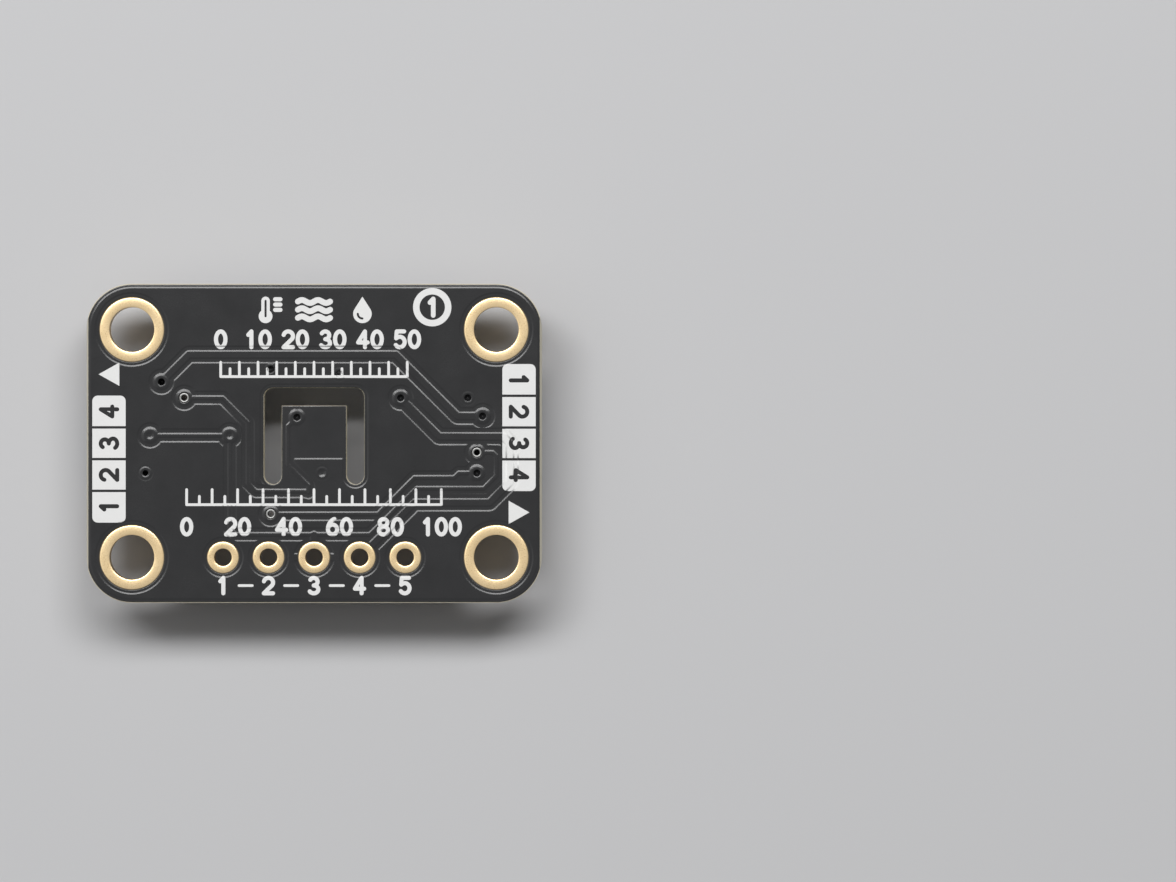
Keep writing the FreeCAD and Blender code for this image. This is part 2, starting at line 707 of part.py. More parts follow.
def land_blocks(extra):
    return [block(x - length / 2 - extra, x + length / 2 + extra,
                  y - width / 2 - extra, y + width / 2 + extra, mounting_face, d.skin_thickness)
            for x, y, length, width in lands]


front_mask = clipped_outline(mounting_face, d.skin_thickness)
openings = rings(d.mask_margin, mounting_face, d.skin_thickness)
openings += slot_prisms(slot_radius, mounting_face, d.skin_thickness)
openings += land_blocks(zero)
front_mask = front_mask.cut(openings)
part_feature("FrontMask", front_mask, "front_solder_mask")
part_feature("FrontLands", Part.makeCompound(land_blocks(zero)), "front_lands")

# White ink of the back: one field beside each short edge. The small marks are left to the finish.
fields = []
legend_end = mount_y - d.mount_ring_radius - d.legend_gap
for side in (-1, 1):
    middle = (edge_x - d.legend_setback - d.legend_width / 2) * side
    fields.append(block(middle - d.legend_width / 2, middle + d.legend_width / 2,
                        -legend_end, legend_end, back_face, d.ink_thickness))
part_feature("BackInk", Part.makeCompound(fields), "back_ink_fields")


# Sockets. Each is made facing -X, standing on its mounting side, and turned over into its place.
def socket_housing(name):
    """Moulded housing: plug space open at the mating face, latch slits, keyways, side recesses."""
    body = new_body(name)
    half = d.socket_width / 2
    plan = new_sketch(body, name + "Outline", "XY_Plane")
    box_outline(plan, zero, d.socket_depth, -half, half)
    pad(body, name + "Block", plan, d.socket_height)
    plan = new_sketch(body, name + "Mouth", "YZ_Plane")
    inner = half - d.socket_side_wall
    roof_underside = d.socket_height - d.socket_roof
    key_floor = d.socket_floor - d.key_height
    outline(plan, [
        (-inner, key_floor), (d.key_width - inner, key_floor),
        (d.key_width - inner, d.socket_floor), (inner - d.key_width, d.socket_floor),
        (inner - d.key_width, key_floor), (inner, key_floor),
        (inner, roof_underside), (-inner, roof_underside),
    ])
    pocket(body, name + "PlugSpace", plan, d.socket_cavity_depth, backwards=True)
    plan = new_sketch(body, name + "LatchSlits", "XY_Plane", lift=d.socket_height)
    for side in (-1, 1):
        middle = d.latch_slot_offset * side
        box_outline(plan, zero, d.latch_slot_depth,
                    middle - d.latch_slot_width / 2, middle + d.latch_slot_width / 2)
    pocket(body, name + "LatchSlitCut", plan, d.socket_roof)
    plan = new_sketch(body, name + "ContactSlots", "YZ_Plane", lift=d.socket_cavity_depth)
    low = d.contact_height - d.contact_thickness / 2
    for number in CONTACT_STEPS:
        middle = d.contact_pitch * number
        box_outline(plan, middle - d.contact_width / 2, middle + d.contact_width / 2,
                    low, low + d.contact_thickness)
    pocket(body, name + "ContactSlotCut", plan, d.socket_depth - d.socket_cavity_depth,
           backwards=True)
    plan = new_sketch(body, name + "TabRecesses", "XY_Plane")
    for side in (-1, 1):
        outer = half * side
        under = (half - d.contact_thickness) * side
        low_y, high_y = (outer, under) if side < 0 else (under, outer)
        box_outline(plan, d.tab_setback, d.tab_setback + d.tab_length, low_y, high_y)
    pocket(body, name + "TabRecessCut", plan, d.tab_height, backwards=True)
    return body


def contact(name):
    """Bent strip: blade in the plug space, riser down the rear wall, foot on the land."""
    body = new_body(name)
    plan = new_sketch(body, name + "Side", "XZ_Plane")
    low = d.contact_height - d.contact_thickness / 2
    high = low + d.contact_thickness
    rear = d.socket_depth
    outer = rear + d.contact_thickness
    outline(plan, [
        (d.contact_setback, low), (rear, low), (rear, zero), (rear + d.contact_foot, zero),
        (rear + d.contact_foot, d.contact_thickness), (outer, d.contact_thickness),
        (outer, high), (d.contact_setback, high),
    ])
    pad(body, name + "Strip", plan, d.contact_width, midplane=True)
    return body


def solder_tab(name, side):
    """Angle strip in the housing's side, with its foot beside the housing."""
    body = new_body(name)
    plan = new_sketch(body, name + "Section", "YZ_Plane", lift=d.tab_setback)
    skin = d.contact_thickness
    outer = d.socket_width / 2
    corners = [
        (outer - skin, zero), (outer + d.tab_foot, zero), (outer + d.tab_foot, skin),
        (outer, skin), (outer, d.tab_height), (outer - skin, d.tab_height),
    ]
    if side < 0:
        corners = [(-y, z) for y, z in corners][::-1]
    outline(plan, corners)
    pad(body, name + "Angle", plan, d.tab_length)
    return body


for place_name, side in SOCKET_SIDES.items():
    facing = FACING_DOWN_LEFT if side < 0 else FACING_DOWN_RIGHT
    prefix = place_name + "_socket_"
    housing = socket_housing(prefix + "housing")
    place(housing, mating_x * side, zero, mounting_face, facing)
    export(housing, prefix + "housing")
    for number, step in enumerate(CONTACT_STEPS, 1):
        strip = contact(prefix + "contact_%d" % number)
        place(strip, mating_x * side, d.contact_pitch * step, mounting_face, facing)
        export(strip, prefix + "contact_%d" % number)
    for end, end_side in (("upper", 1), ("lower", -1)):
        # Turning about X swaps the two ends, and turning about Y does not.
        tab = solder_tab(prefix + "tab_" + end, end_side * side)
        place(tab, mating_x * side, zero, mounting_face, facing)
        export(tab, prefix + "tab_" + end)


# Moulded packages with gull-wing legs.
def package(name, length, width, height):
    """Moulded body that tapers up and down from its parting plane."""
    body = new_body(name)
    parting = (height + d.chip_clearance) / 2
    plan = new_sketch(body, name + "Parting", "XY_Plane", lift=parting)
    box_outline(plan, -width / 2, width / 2, -length / 2, length / 2)
    pad(body, name + "Upper", plan, height - parting, taper=-d.chip_taper)
    plan = new_sketch(body, name + "PartingBelow", "XY_Plane", lift=parting)
    box_outline(plan, -width / 2, width / 2, -length / 2, length / 2)
    pad(body, name + "Lower", plan, parting - d.chip_clearance, backwards=True,
        taper=-d.chip_taper)
    return body


def gull_legs(name, label, x, y, legs, span, width, height, leg_width):
    """Legs of one package, from its parting plane out and down to the board."""
    skin = d.leg_thickness
    shoulder = (height + d.chip_clearance) / 2 - skin / 2
    inner = width / 2
    heel = span / 2 - d.leg_foot
    side_view = [(inner, shoulder), (heel, shoulder), (heel, zero), (span / 2, zero),
                 (span / 2, skin), (heel + skin, skin), (heel + skin, shoulder + skin),
                 (inner, shoulder + skin)]
    bent = []
    for side, offset in legs:
        rim = [Vector((x + px * side).value, (y + offset - leg_width / 2).value,
                      (mounting_face - pz).value) for px, pz in side_view]
        face = Part.Face(Part.makePolygon(rim + rim[:1]))
        bent.append(face.extrude(Vector(0, leg_width.value, 0)))
    part_feature(name, Part.makeCompound(bent), label)


regulator = package("Regulator", d.regulator_length, d.regulator_width, d.regulator_height)
place(regulator, d.regulator_x, regulator_y, mounting_face, FACING_DOWN_LEFT)
export(regulator, "regulator_package")
gull_legs("RegulatorLegs", "regulator_legs", d.regulator_x, regulator_y, REGULATOR_LEGS,
          d.regulator_span, d.regulator_width, d.regulator_height, d.regulator_leg_width)
shifter = package("Shifter", d.shifter_length, d.shifter_width, d.shifter_height)
place(shifter, -beside_x, d.shifter_y, mounting_face, FACING_DOWN_LEFT)
export(shifter, "level_shifter_package")
gull_legs("ShifterLegs", "level_shifter_legs", -beside_x, d.shifter_y, SHIFTER_LEGS,
          d.shifter_span, d.shifter_width, d.shifter_height, d.shifter_leg_width)

# Sensor: square moulded package with a tapered round opening over the die.
sensor = new_body("Sensor")
plan = new_sketch(sensor, "SensorOutline", "XY_Plane")
box_outline(plan, -d.sensor_size / 2, d.sensor_size / 2, -d.sensor_size / 2, d.sensor_size / 2)
pad(sensor, "SensorBlock", plan, d.sensor_height)
plan = new_sketch(sensor, "SensorMouth", "XZ_Plane")
mouth_floor = d.sensor_height - d.sensor_mouth_depth
outline(plan, [(zero, mouth_floor), (d.sensor_throat_radius, mouth_floor),
               (d.sensor_mouth_radius, d.sensor_height), (zero, d.sensor_height)])
mouth = sensor.newObject("PartDesign::Groove", "SensorMouthCut")
mouth.Profile = plan
mouth.ReferenceAxis = (plan, ["V_Axis"])
mouth.Angle = 360
place(sensor, zero, d.sensor_y, mounting_face, FACING_DOWN_LEFT)
export(sensor, "sensor_package")
die = doc.addObject("Part::Box", "Die")
bind(die, "Length", d.die_size)
bind(die, "Width", d.die_size)
bind(die, "Height", d.die_height)
place(die, -d.die_size / 2, d.sensor_y - d.die_size / 2,
      mounting_face - mouth_floor - d.die_height)
export(die, "sensor_die")


# Chip capacitors: a ceramic block between two tinned caps.
def chamfered_outline(plan, width, low, height, chamfer):
    """Upright section across the block, its long edges broken."""
    half = width / 2
    high = low + height
    outline(plan, [
        (chamfer - half, low), (half - chamfer, low), (half, low + chamfer),
        (half, high - chamfer), (half - chamfer, high), (chamfer - half, high),
        (-half, high - chamfer), (-half, low + chamfer),
    ])


def chip_capacitor(name, x, y, length, width, height, terminal):
    skin = d.terminal_skin
    ceramic = new_body(name + "_block")
    plan = new_sketch(ceramic, name + "BlockSection", "YZ_Plane")
    chamfered_outline(plan, width - skin * 2, skin, height - skin * 2, d.capacitor_chamfer)
    pad(ceramic, name + "BlockPad", plan, length - skin * 2, midplane=True)
    place(ceramic, x, y, mounting_face, FACING_DOWN_LEFT)
    export(ceramic, name + "_block")
    for end, facing in (("left", FACING_DOWN_LEFT), ("right", FACING_DOWN_RIGHT)):
        cap = new_body(name + "_terminal_" + end)
        plan = new_sketch(cap, name + end + "Section", "YZ_Plane", lift=-length / 2)
        chamfered_outline(plan, width, zero, height, d.capacitor_chamfer)
        pad(cap, name + end + "Cap", plan, terminal)
        plan = new_sketch(cap, name + end + "Seat", "YZ_Plane", lift=skin - length / 2)
        chamfered_outline(plan, width - skin * 2, skin, height - skin * 2, d.capacitor_chamfer)
        pocket(cap, name + end + "SeatCut", plan, terminal, backwards=True)
        place(cap, x, y, mounting_face, facing)
        export(cap, name + "_terminal_" + end)


chip_capacitor("input_capacitor", beside_x, input_capacitor_y, d.capacitor_length,
               d.capacitor_width, d.capacitor_height, d.terminal_length)
chip_capacitor("output_capacitor", d.output_capacitor_x, regulator_y, d.capacitor_length,
               d.capacitor_width, d.capacitor_height, d.terminal_length)
chip_capacitor("sensor_capacitor", d.small_capacitor_x, d.small_capacitor_y,
               d.small_capacitor_length, d.small_capacitor_width, d.small_capacitor_height,
               d.small_terminal_length)

# Resistor array: a flat ceramic block with four tinned terminals along each long side.
array_top = mounting_face - d.terminal_skin - d.array_height
array_block = doc.addObject("Part::Box", "ArrayBlock")
bind(array_block, "Length", d.array_width)
bind(array_block, "Width", d.array_length)
bind(array_block, "Height", d.array_height)
place(array_block, -beside_x - d.array_width / 2, d.array_y - d.array_length / 2, array_top)
export(array_block, "resistor_array_block")
core_box = block(-beside_x - d.array_width / 2, d.array_width / 2 - beside_x,
                 d.array_y - d.array_length / 2, d.array_y + d.array_length / 2,
                 array_top, d.array_height)
clips = []
for side in (-1, 1):
    for number in ARRAY_STEPS:
        middle_y = d.array_y + d.array_pitch * number
        outer_x = (d.array_width / 2 + d.terminal_skin) * side - beside_x
        inner_x = (d.array_width / 2 - d.array_terminal_length) * side - beside_x
        low_x, high_x = (outer_x, inner_x) if side < 0 else (inner_x, outer_x)
        wrap = block(low_x, high_x, middle_y - d.array_terminal_width / 2,
                     middle_y + d.array_terminal_width / 2, array_top - d.terminal_skin,
                     d.array_height + d.terminal_skin * 2)
        clips.append(wrap.cut(core_box))
part_feature("ArrayTerminals", Part.makeCompound(clips), "resistor_array_terminals")

# Every object must have built, every cut must have cut, and every sub-part must be sound.
doc.recompute()
for thing in doc.Objects:
    if "Invalid" in thing.State or "Error" in thing.State:
        raise RuntimeError("%s did not build: %s" % (thing.Label, thing.State))
    before = None
    if thing.TypeId in ("PartDesign::Pocket", "PartDesign::Groove"):
        before = thing.BaseFeature
    elif thing.TypeId == "Part::Cut":
        before = thing.Base
    if before is not None and thing.Shape.Volume >= before.Shape.Volume - 1e-9:
        raise RuntimeError("%s cuts nothing" % thing.Label)
for thing in exports:
    if thing.Shape.isNull() or not thing.Shape.isValid() or not thing.Shape.Solids:
        raise RuntimeError("%s is not a sound solid" % thing.Label)

os.makedirs("parts", exist_ok=True)
for thing in exports:
    thing.Shape.exportStep(os.path.join("parts", thing.Label + ".step"))
    box = thing.Shape.BoundBox
    print("%-34s %2d solids %9.4f mm3  %.3f..%.3f  %.3f..%.3f  %.3f..%.3f" % (
        thing.Label, len(thing.Shape.Solids), thing.Shape.Volume,
        box.XMin, box.XMax, box.YMin, box.YMax, box.ZMin, box.ZMax))
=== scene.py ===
import math

import bmesh
import bpy
import numpy
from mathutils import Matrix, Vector
from mathutils.geometry import delaunay_2d_cdt


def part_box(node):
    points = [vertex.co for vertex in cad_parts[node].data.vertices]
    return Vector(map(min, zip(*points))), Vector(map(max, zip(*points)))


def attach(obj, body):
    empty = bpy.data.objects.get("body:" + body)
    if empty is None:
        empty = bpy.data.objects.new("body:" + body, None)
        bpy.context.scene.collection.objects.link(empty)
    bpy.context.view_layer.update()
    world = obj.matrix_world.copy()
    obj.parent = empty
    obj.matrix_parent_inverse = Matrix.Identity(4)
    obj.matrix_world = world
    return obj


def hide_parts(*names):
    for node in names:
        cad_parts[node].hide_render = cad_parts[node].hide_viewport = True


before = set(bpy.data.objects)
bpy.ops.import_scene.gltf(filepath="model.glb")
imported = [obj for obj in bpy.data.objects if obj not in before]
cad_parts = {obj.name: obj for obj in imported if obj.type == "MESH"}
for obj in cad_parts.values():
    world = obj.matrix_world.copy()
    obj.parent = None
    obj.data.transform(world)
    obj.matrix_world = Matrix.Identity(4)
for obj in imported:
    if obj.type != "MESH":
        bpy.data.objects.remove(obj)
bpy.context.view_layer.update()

# Circuit board. The real one is a panel of woven glass in cream epoxy, 1.5 mm thick under its
# two masks. Its long edges, corners and the slot round the tongue are routed, its holes are
# drilled, and its short edges were snapped off along a score cut into both faces.
MM = 0.001
CORNER_RADIUS = 2.54
SCORE_REACH = 0.116
SCORE_DEPTH = 0.445
SLOT_REACH = 0.5
SLOT = [(-2.3, -1.79), (-2.3, 2.6), (2.3, 2.6), (2.3, -1.79)]
MOUNTING_WALL = 1.285
HEADER_WALL = 0.525
VIA_WALL = 0.2
EDGE_ROUND = 0.08
EDGE_FALL = 0.035
LAYOUT_STEP = 0.0635
TRACE_VIAS = [(-134, 54), (148, 24), (-114, 40), (-144, 7), (-74, 7), (143, -8), (-38, -62),
              (143, -26), (-15, 23), (76, 40)]
GROUND_VIAS = [(-148, -26), (-38, 65), (22, 61), (7, -26), (135, 40)]


def middle_of(node):
    """Middle of a CAD node seen from above, in millimetres."""
    low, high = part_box(node)
    return (low.x + high.x) / 2 / MM, (low.y + high.y) / 2 / MM


def laid_out(steps):
    return [(x * LAYOUT_STEP, y * LAYOUT_STEP) for x, y in steps]


board_low, board_high = (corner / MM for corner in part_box("circuit_board"))
mounting_nodes = ["mounting_hole_" + corner
                  for corner in ("upper_left", "upper_right", "lower_left", "lower_right")]
header_nodes = ["header_hole_%d" % number for number in range(1, 6)]
mounting_places = [middle_of(node) for node in mounting_nodes]
header_places = [middle_of(node) for node in header_nodes]
trace_vias = laid_out(TRACE_VIAS)
ground_vias = laid_out(GROUND_VIAS)
all_vias = trace_vias + ground_vias


def arc(middle, reach, start, end, steps, flatten=1.0):
    """Points on a round or oval line, angles in degrees."""
    angles = [math.radians(start + (end - start) * n / steps) for n in range(steps + 1)]
    return [(middle[0] + reach * math.cos(angle), middle[1] + reach * flatten * math.sin(angle))
            for angle in angles]


def ring_line(middle, reach, steps):
    return arc(middle, reach, 0, 360, steps)[:-1]


def plate_line(half_x, half_y, radius, steps=18):
    """Closed line of a plate with round corners."""
    line = []
    for side_x, side_y, start in ((1, 1, 0), (-1, 1, 90), (-1, -1, 180), (1, -1, 270)):
        middle = ((half_x - radius) * side_x, (half_y - radius) * side_y)
        line += arc(middle, radius, start, start + 90, steps)
    return line


def line_round(path, reach, steps=8):
    """Closed line at one distance round an open path, with round ends and outer corners."""
    line = []
    for run in (path, path[::-1]):
        headings = [math.atan2(y1 - y0, x1 - x0) for (x0, y0), (x1, y1) in zip(run, run[1:])]
        for index, heading in enumerate(headings):
            x, y = run[index + 1]
            side = heading - math.pi / 2
            if index + 1 < len(headings):
                turn = (headings[index + 1] - heading + math.pi) % (2 * math.pi) - math.pi
            else:
                turn = math.pi
            if turn > 0:
                parts = max(1, math.ceil(turn / math.pi * steps))
                angles = [side + turn * n / parts for n in range(parts + 1)]
                line += [(x + reach * math.cos(a), y + reach * math.sin(a)) for a in angles]
            else:
                away = min(reach / math.cos(turn / 2), reach * 3)
                line.append((x + away * math.cos(side + turn / 2),
                             y + away * math.sin(side + turn / 2)))
    return line


def off_path(spots, path):
    """Distance of each spot from a run of straight lines."""
    nearest = numpy.full(len(spots), 1e3)
    for start, end in zip(path, path[1:]):
        run = numpy.array(end) - start
        share = numpy.clip((spots - start) @ run / max(run @ run, 1e-12), 0, 1)
        gap = spots - start - share[:, None] * run
        nearest = numpy.minimum(nearest, numpy.hypot(gap[:, 0], gap[:, 1]))
    return nearest


def off_places(spots, places):
    """Distance of each spot from the nearest of some places."""
    gaps = [numpy.hypot(spots[:, 0] - x, spots[:, 1] - y) for x, y in places]
    return numpy.minimum.reduce(gaps)


def inside_plate(spots, half_x, half_y, radius):
    """Distance of each spot inside the edge of a plate with round corners."""
    out_x = abs(spots[:, 0]) - (half_x - radius)
    out_y = abs(spots[:, 1]) - (half_y - radius)
    beyond = numpy.hypot(numpy.maximum(out_x, 0), numpy.maximum(out_y, 0))
    return radius - beyond - numpy.minimum(numpy.maximum(out_x, out_y), 0)


def triangulate(lines):
    """Corners and triangles, all turned the same way, between closed lines that may cross."""
    corners = [Vector(point) for line in lines for point in line]
    edges = []
    first = 0
    for line in lines:
        edges += [(first + n, first + (n + 1) % len(line)) for n in range(len(line))]
        first += len(line)
    found = delaunay_2d_cdt(corners, edges, [], 0, 1e-5)
    spots = numpy.array([tuple(spot) for spot in found[0]])
    return spots, [tuple(face) for face in found[2]]


def middles(spots, faces):
    return spots[numpy.array(faces)].mean(axis=1)


def new_object(name, data):
    thing = bpy.data.objects.new(name, data)
    bpy.context.scene.collection.objects.link(thing)
    return thing


def new_piece(name, points, faces):
    """Object made from its corners, in metres, and its faces."""
    mesh = bpy.data.meshes.new(name)
    mesh.from_pydata(points, [], faces)
    return new_object(name, mesh)


def closed_sheet(name, spots, faces, kept, top, bottom):
    """Solid between two heights over the kept triangles, with upright walls at its rims."""
    faces = [face for face, stays in zip(faces, kept) if stays]
    used = sorted({corner for face in faces for corner in face})
    place = {corner: n for n, corner in enumerate(used)}
    count = len(used)
    points = [(*(spots[c] * MM), top[c] * MM) for c in used]
    points += [(*(spots[c] * MM), bottom[c] * MM) for c in used]
    upper = [tuple(place[corner] for corner in face) for face in faces]
    sides = {(a, b) for face in upper for a, b in zip(face, face[1:] + face[:1])}
    walls = [(a + count, b + count, b, a) for a, b in sides if (b, a) not in sides]
    lower = [tuple(corner + count for corner in face[::-1]) for face in upper]
    return new_piece(name, points, upper + lower + sorted(walls))


def shader_of(paint):
    return paint.node_tree.nodes["Principled BSDF"]


def new_paint(name, roughness, metallic=0.0):
    """New material, with its plain values set on the shader itself."""
    paint = bpy.data.materials.new(name)
    paint.use_nodes = True
    shader_of(paint).inputs["Roughness"].default_value = roughness
    shader_of(paint).inputs["Metallic"].default_value = metallic
    return paint


def add_node(tree, kind, settings=(), inputs=()):
    node = tree.nodes.new(kind)
    for name, value in dict(settings).items():
        setattr(node, name, value)
    for name, value in dict(inputs).items():
        if isinstance(value, bpy.types.NodeSocket):
            tree.links.new(value, node.inputs[name])
        else:
            node.inputs[name].default_value = value
    return node


def calc(tree, operation, *values):
    return add_node(tree, "ShaderNodeMath", {"operation": operation}, enumerate(values)).outputs[0]


def scaled(tree, value, gain, base=0.0):
    return calc(tree, "MULTIPLY_ADD", value, gain, base)


def blend(tree, share, colour_a, colour_b, most=1.0):
    """Colour between two, by a share from 0 to 1, of the most that the second may reach."""
    node = add_node(tree, "ShaderNodeMix", {"data_type": "RGBA"})
    sockets = {socket.identifier: socket for socket in node.inputs}
    tree.links.new(calc(tree, "MULTIPLY", share, most), sockets["Factor_Float"])
    for socket, colour in ((sockets["A_Color"], colour_a), (sockets["B_Color"], colour_b)):
        if isinstance(colour, bpy.types.NodeSocket):
            tree.links.new(colour, socket)
        else:
            socket.default_value = (*colour, 1.0)
    return next(socket for socket in node.outputs if socket.identifier == "Result_Color")


def finished(paint, colour, height, distance, rough=None):
    """Adds the colour, a bump whose depth is in metres, and the roughness where it varies."""
    links = paint.node_tree.links
    shader = shader_of(paint)
    links.new(colour, shader.inputs["Base Color"])
    if rough is not None:
        links.new(rough, shader.inputs["Roughness"])
    bump = add_node(paint.node_tree, "ShaderNodeBump", {}, {"Height": height, "Distance": distance})
    links.new(bump.outputs["Normal"], shader.inputs["Normal"])
    return paint


def own_place(tree):
    return add_node(tree, "ShaderNodeTexCoord").outputs["Object"]


def own_axes(tree):
    return add_node(tree, "ShaderNodeSeparateXYZ", {}, {0: own_place(tree)}).outputs


def grain_group():
    """Fine grain and broad mottle on a piece's own coordinates, both from 0 to 1."""
    group = bpy.data.node_groups.new("fine_grain", "ShaderNodeTree")
    for name, value in (("Grain Size", 0.0001), ("Mottle Size", 0.002)):
        socket = group.interface.new_socket(name, in_out="INPUT", socket_type="NodeSocketFloat")
        socket.default_value = value
    for name in ("Grain", "Mottle"):
        group.interface.new_socket(name, in_out="OUTPUT", socket_type="NodeSocketFloat")
    start = group.nodes.new("NodeGroupInput")
    end = group.nodes.new("NodeGroupOutput")
    place = own_place(group)
    for name, detail in (("Grain", 3.0), ("Mottle", 4.0)):
        scale = calc(group, "DIVIDE", 1.0, start.outputs[name + " Size"])
        noise = add_node(group, "ShaderNodeTexNoise", {}, {"Vector": place, "Scale": scale,
                                                           "Detail": detail, "Roughness": 0.6})
        group.links.new(noise.outputs["Fac"], end.inputs[name])
    return group


fine_grain = grain_group()


def grained_paint(name, roughness, grain_size, mottle_size, metallic=0.0):
    """New material with its nodes, its fine grain and its broad mottle."""
    paint = new_paint(name, roughness, metallic)
    grain, mottle = add_node(paint.node_tree, "ShaderNodeGroup", {"node_tree": fine_grain},
                             {"Grain Size": grain_size, "Mottle Size": mottle_size}).outputs
    return paint, paint.node_tree, grain, mottle


LAYER_STEP = 0.00019
CRIMP_STEP = 0.0009


def cut_paint():
    """Cut glass weave: pale bundles in layers through the thickness, cream resin between them."""
    paint, tree, grain, mottle = grained_paint("cut_laminate", 0.62, 0.00004, 0.0012)
    x, y, z = own_axes(tree)
    along = calc(tree, "MULTIPLY", calc(tree, "ADD", x, y), 2 * math.pi / CRIMP_STEP)
    crimp = calc(tree, "MULTIPLY", calc(tree, "SINE", along), 0.45)
    layer = scaled(tree, z, 2 * math.pi / LAYER_STEP, scaled(tree, mottle, 3.0, crimp))
    bundle = scaled(tree, calc(tree, "SINE", layer), 0.5, 0.5)
    colour = blend(tree, bundle, (0.69, 0.62, 0.45), (0.88, 0.84, 0.70))
    colour = blend(tree, grain, colour, (0.46, 0.39, 0.26), 0.45)
    colour = blend(tree, mottle, colour, (0.93, 0.91, 0.81), 0.3)
    return finished(paint, colour, calc(tree, "ADD", bundle, grain), 0.000012)


def face_paint():
    """Uncut laminate face, bare in narrow gaps: dark olive brown, partly its own colour, partly
    painted shade.
    """
    paint, tree, grain, mottle = grained_paint("bare_laminate_painted_shade", 0.5, 0.00005, 0.0005)
    # Dark olive brown: partly the face's own colour, partly painted shade of the narrow gaps it shows
    # in.
    colour = blend(tree, grain, (0.035, 0.028, 0.014), (0.085, 0.066, 0.034))
    colour = blend(tree, mottle, colour, (0.05, 0.032, 0.016), 0.4)
    return finished(paint, colour, grain, 0.000006)


half_x, half_y = board_high.x, board_high.y
score_x = half_x - SCORE_REACH


def edge_line(inset):
    """Line of the board's outer edge, moved in."""
    return plate_line(half_x - inset, half_y - inset, CORNER_RADIUS - inset)


def upright_lines(x):
    """Straight lines along both short edges, at one distance from the middle."""
    return [[(x * side, -half_y), (x * side, half_y)] for side in (-1, 1)]


def inside_cuts(spots, edge_bare=0.0, slot_bare=0.0):
    """Distance of each spot inside the board's edge and the slot, less a bare strip along each."""
    plate = inside_plate(spots, half_x, half_y, CORNER_RADIUS) - edge_bare
    return numpy.minimum(plate, off_path(spots, SLOT) - SLOT_REACH - slot_bare)


hole_walls = ((mounting_places, MOUNTING_WALL, 64), (header_places, HEADER_WALL, 40),
              (all_vias, VIA_WALL, 24))
board_lines = [edge_line(0), line_round(SLOT, SLOT_REACH), edge_line(EDGE_ROUND),
               line_round(SLOT, SLOT_REACH + EDGE_ROUND)]
board_lines += [ring_line(place, wall, steps) for places, wall, steps in hole_walls
                for place in places]
spots, faces = triangulate(board_lines + upright_lines(score_x))
centres = middles(spots, faces)
solid = inside_cuts(centres) > 0
for places, wall, _ in hole_walls:
    solid &= off_places(centres, places) > wall * 0.999
scored = numpy.maximum(abs(spots[:, 0]) - score_x, 0) * SCORE_DEPTH / SCORE_REACH
rounded = numpy.clip(1 - inside_cuts(spots) / EDGE_ROUND, 0, 1) * EDGE_FALL
fall = numpy.maximum(scored, rounded)
laminate = closed_sheet("laminate", spots, faces, solid, board_high.z - fall,
                        board_low.z + fall)
laminate.data.materials.append(cut_paint())
laminate.data.materials.append(face_paint())
# Level faces take the face paint with its painted shade; cut and rounded faces take the cut paint.
for face in laminate.data.polygons:
    face.material_index = int(abs(face.normal.z) > 0.99)
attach(laminate, "root")
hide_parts("circuit_board")

# Back mask. Black photo-imaged lacquer, printed over the etched copper, so the traces, their
# bare strips and the covered vias stand out as low steps in its semi-gloss surface. It stops
# short of the plated rings and of the open vias.
SLIVER = 0.0005
FILM = 0.02
LEAST_FILM = 0.006
COPPER_STEP = 0.028
STEP_REACH = 0.05
TRACE_HALF = 0.1016
SUPPLY_HALF = 0.2032
COPPER_GAP = 0.254
COPPER_SETBACK = 0.2
LAND_REACH = 0.4445
LAND_RISE = 0.044
LAND_SLOPE = 0.2
SPOKE_HALF = 0.2032
MOUNTING_RING = 1.785
HEADER_RING = 0.8715
RING_MARGIN = 0.05
RINGED_OPENING = 0.29
OPEN_REACH = 0.16
OPEN_LINING = 0.7
COLLAR_REACH = 0.46
COLLAR_WIDTH = 0.26
COLLAR_RISE = 0.006
OPEN_SWELL = 2.4
WELL_REACH = 0.196
WELL_FLOOR = 0.176
MOUTH_REACH = 0.07
MOUTH_FALL = 0.018
WELL_DEPTH = 0.14
DEEP_WELL = 0.56
WELL_POINT = 0.15
WELL_CURVE = 1.3
DISH_SLOPE = 0.26
DISH_FLOOR = 0.45
SHALLOW_VIAS = [(-144, 7), (-74, 7), (7, -26)]
DEEP_VIA = (-134, 54)
SAGGING_FILM = 0.012
RIM_REACH = 0.048
RIM_FALL = 0.01
EDGE_BARE = 0.042
SLOT_BARE = 0.014
EDGE_SAG = 0.003
TONGUE_LEFT = -1.46
TONGUE_TOP = -0.857
RINGED_VIAS = [(-114, 40), (143, -8), (-38, -62)]
OPEN_VIAS = [(-148, -26)]
ETCHED_ISLANDS = [(-22, -32), (129.5, -32.5), (152, -19)]
ISLAND_REACH = 0.66
SIGNAL_ROUTES = [
    [(-114, 40), (-80, 40), (-58, 18), (-58, -35), (-51, -42), (-5, -42)],
    [(-15, 23), (-23, 15), (-23, -19), (-5, -37), (-5, -43)],
    [(-144, 7), (-74, 7), (-74, -75), (-69, -80), (49, -80), (89.5, -39.5), (149, -39.5),
     (160, -28.5), (160, -11), (157, -8), (143, -8)],
    [(-38, -62), (56, -62), (88, -30), (123, -30), (127, -26), (143, -26)],
]
SUPPLY_ROUTES = [
    [(-134, 54), (-110, 78), (72, 78), (126, 24), (148, 24)],
    [(40, -100), (88, -52), (154, -52), (172, -34), (172, 0), (166, 6), (110, 6), (76, 40)],
]
back_traces = [(laid_out(route), TRACE_HALF) for route in SIGNAL_ROUTES]
back_traces += [(laid_out(route), SUPPLY_HALF) for route in SUPPLY_ROUTES]
ringed_vias = laid_out(RINGED_VIAS)
open_vias = laid_out(OPEN_VIAS)
tented_vias = [place for place in all_vias if place not in ringed_vias + open_vias]
inner_slot = SLOT[2][0] - SLOT_REACH
middle_header = header_places[2]
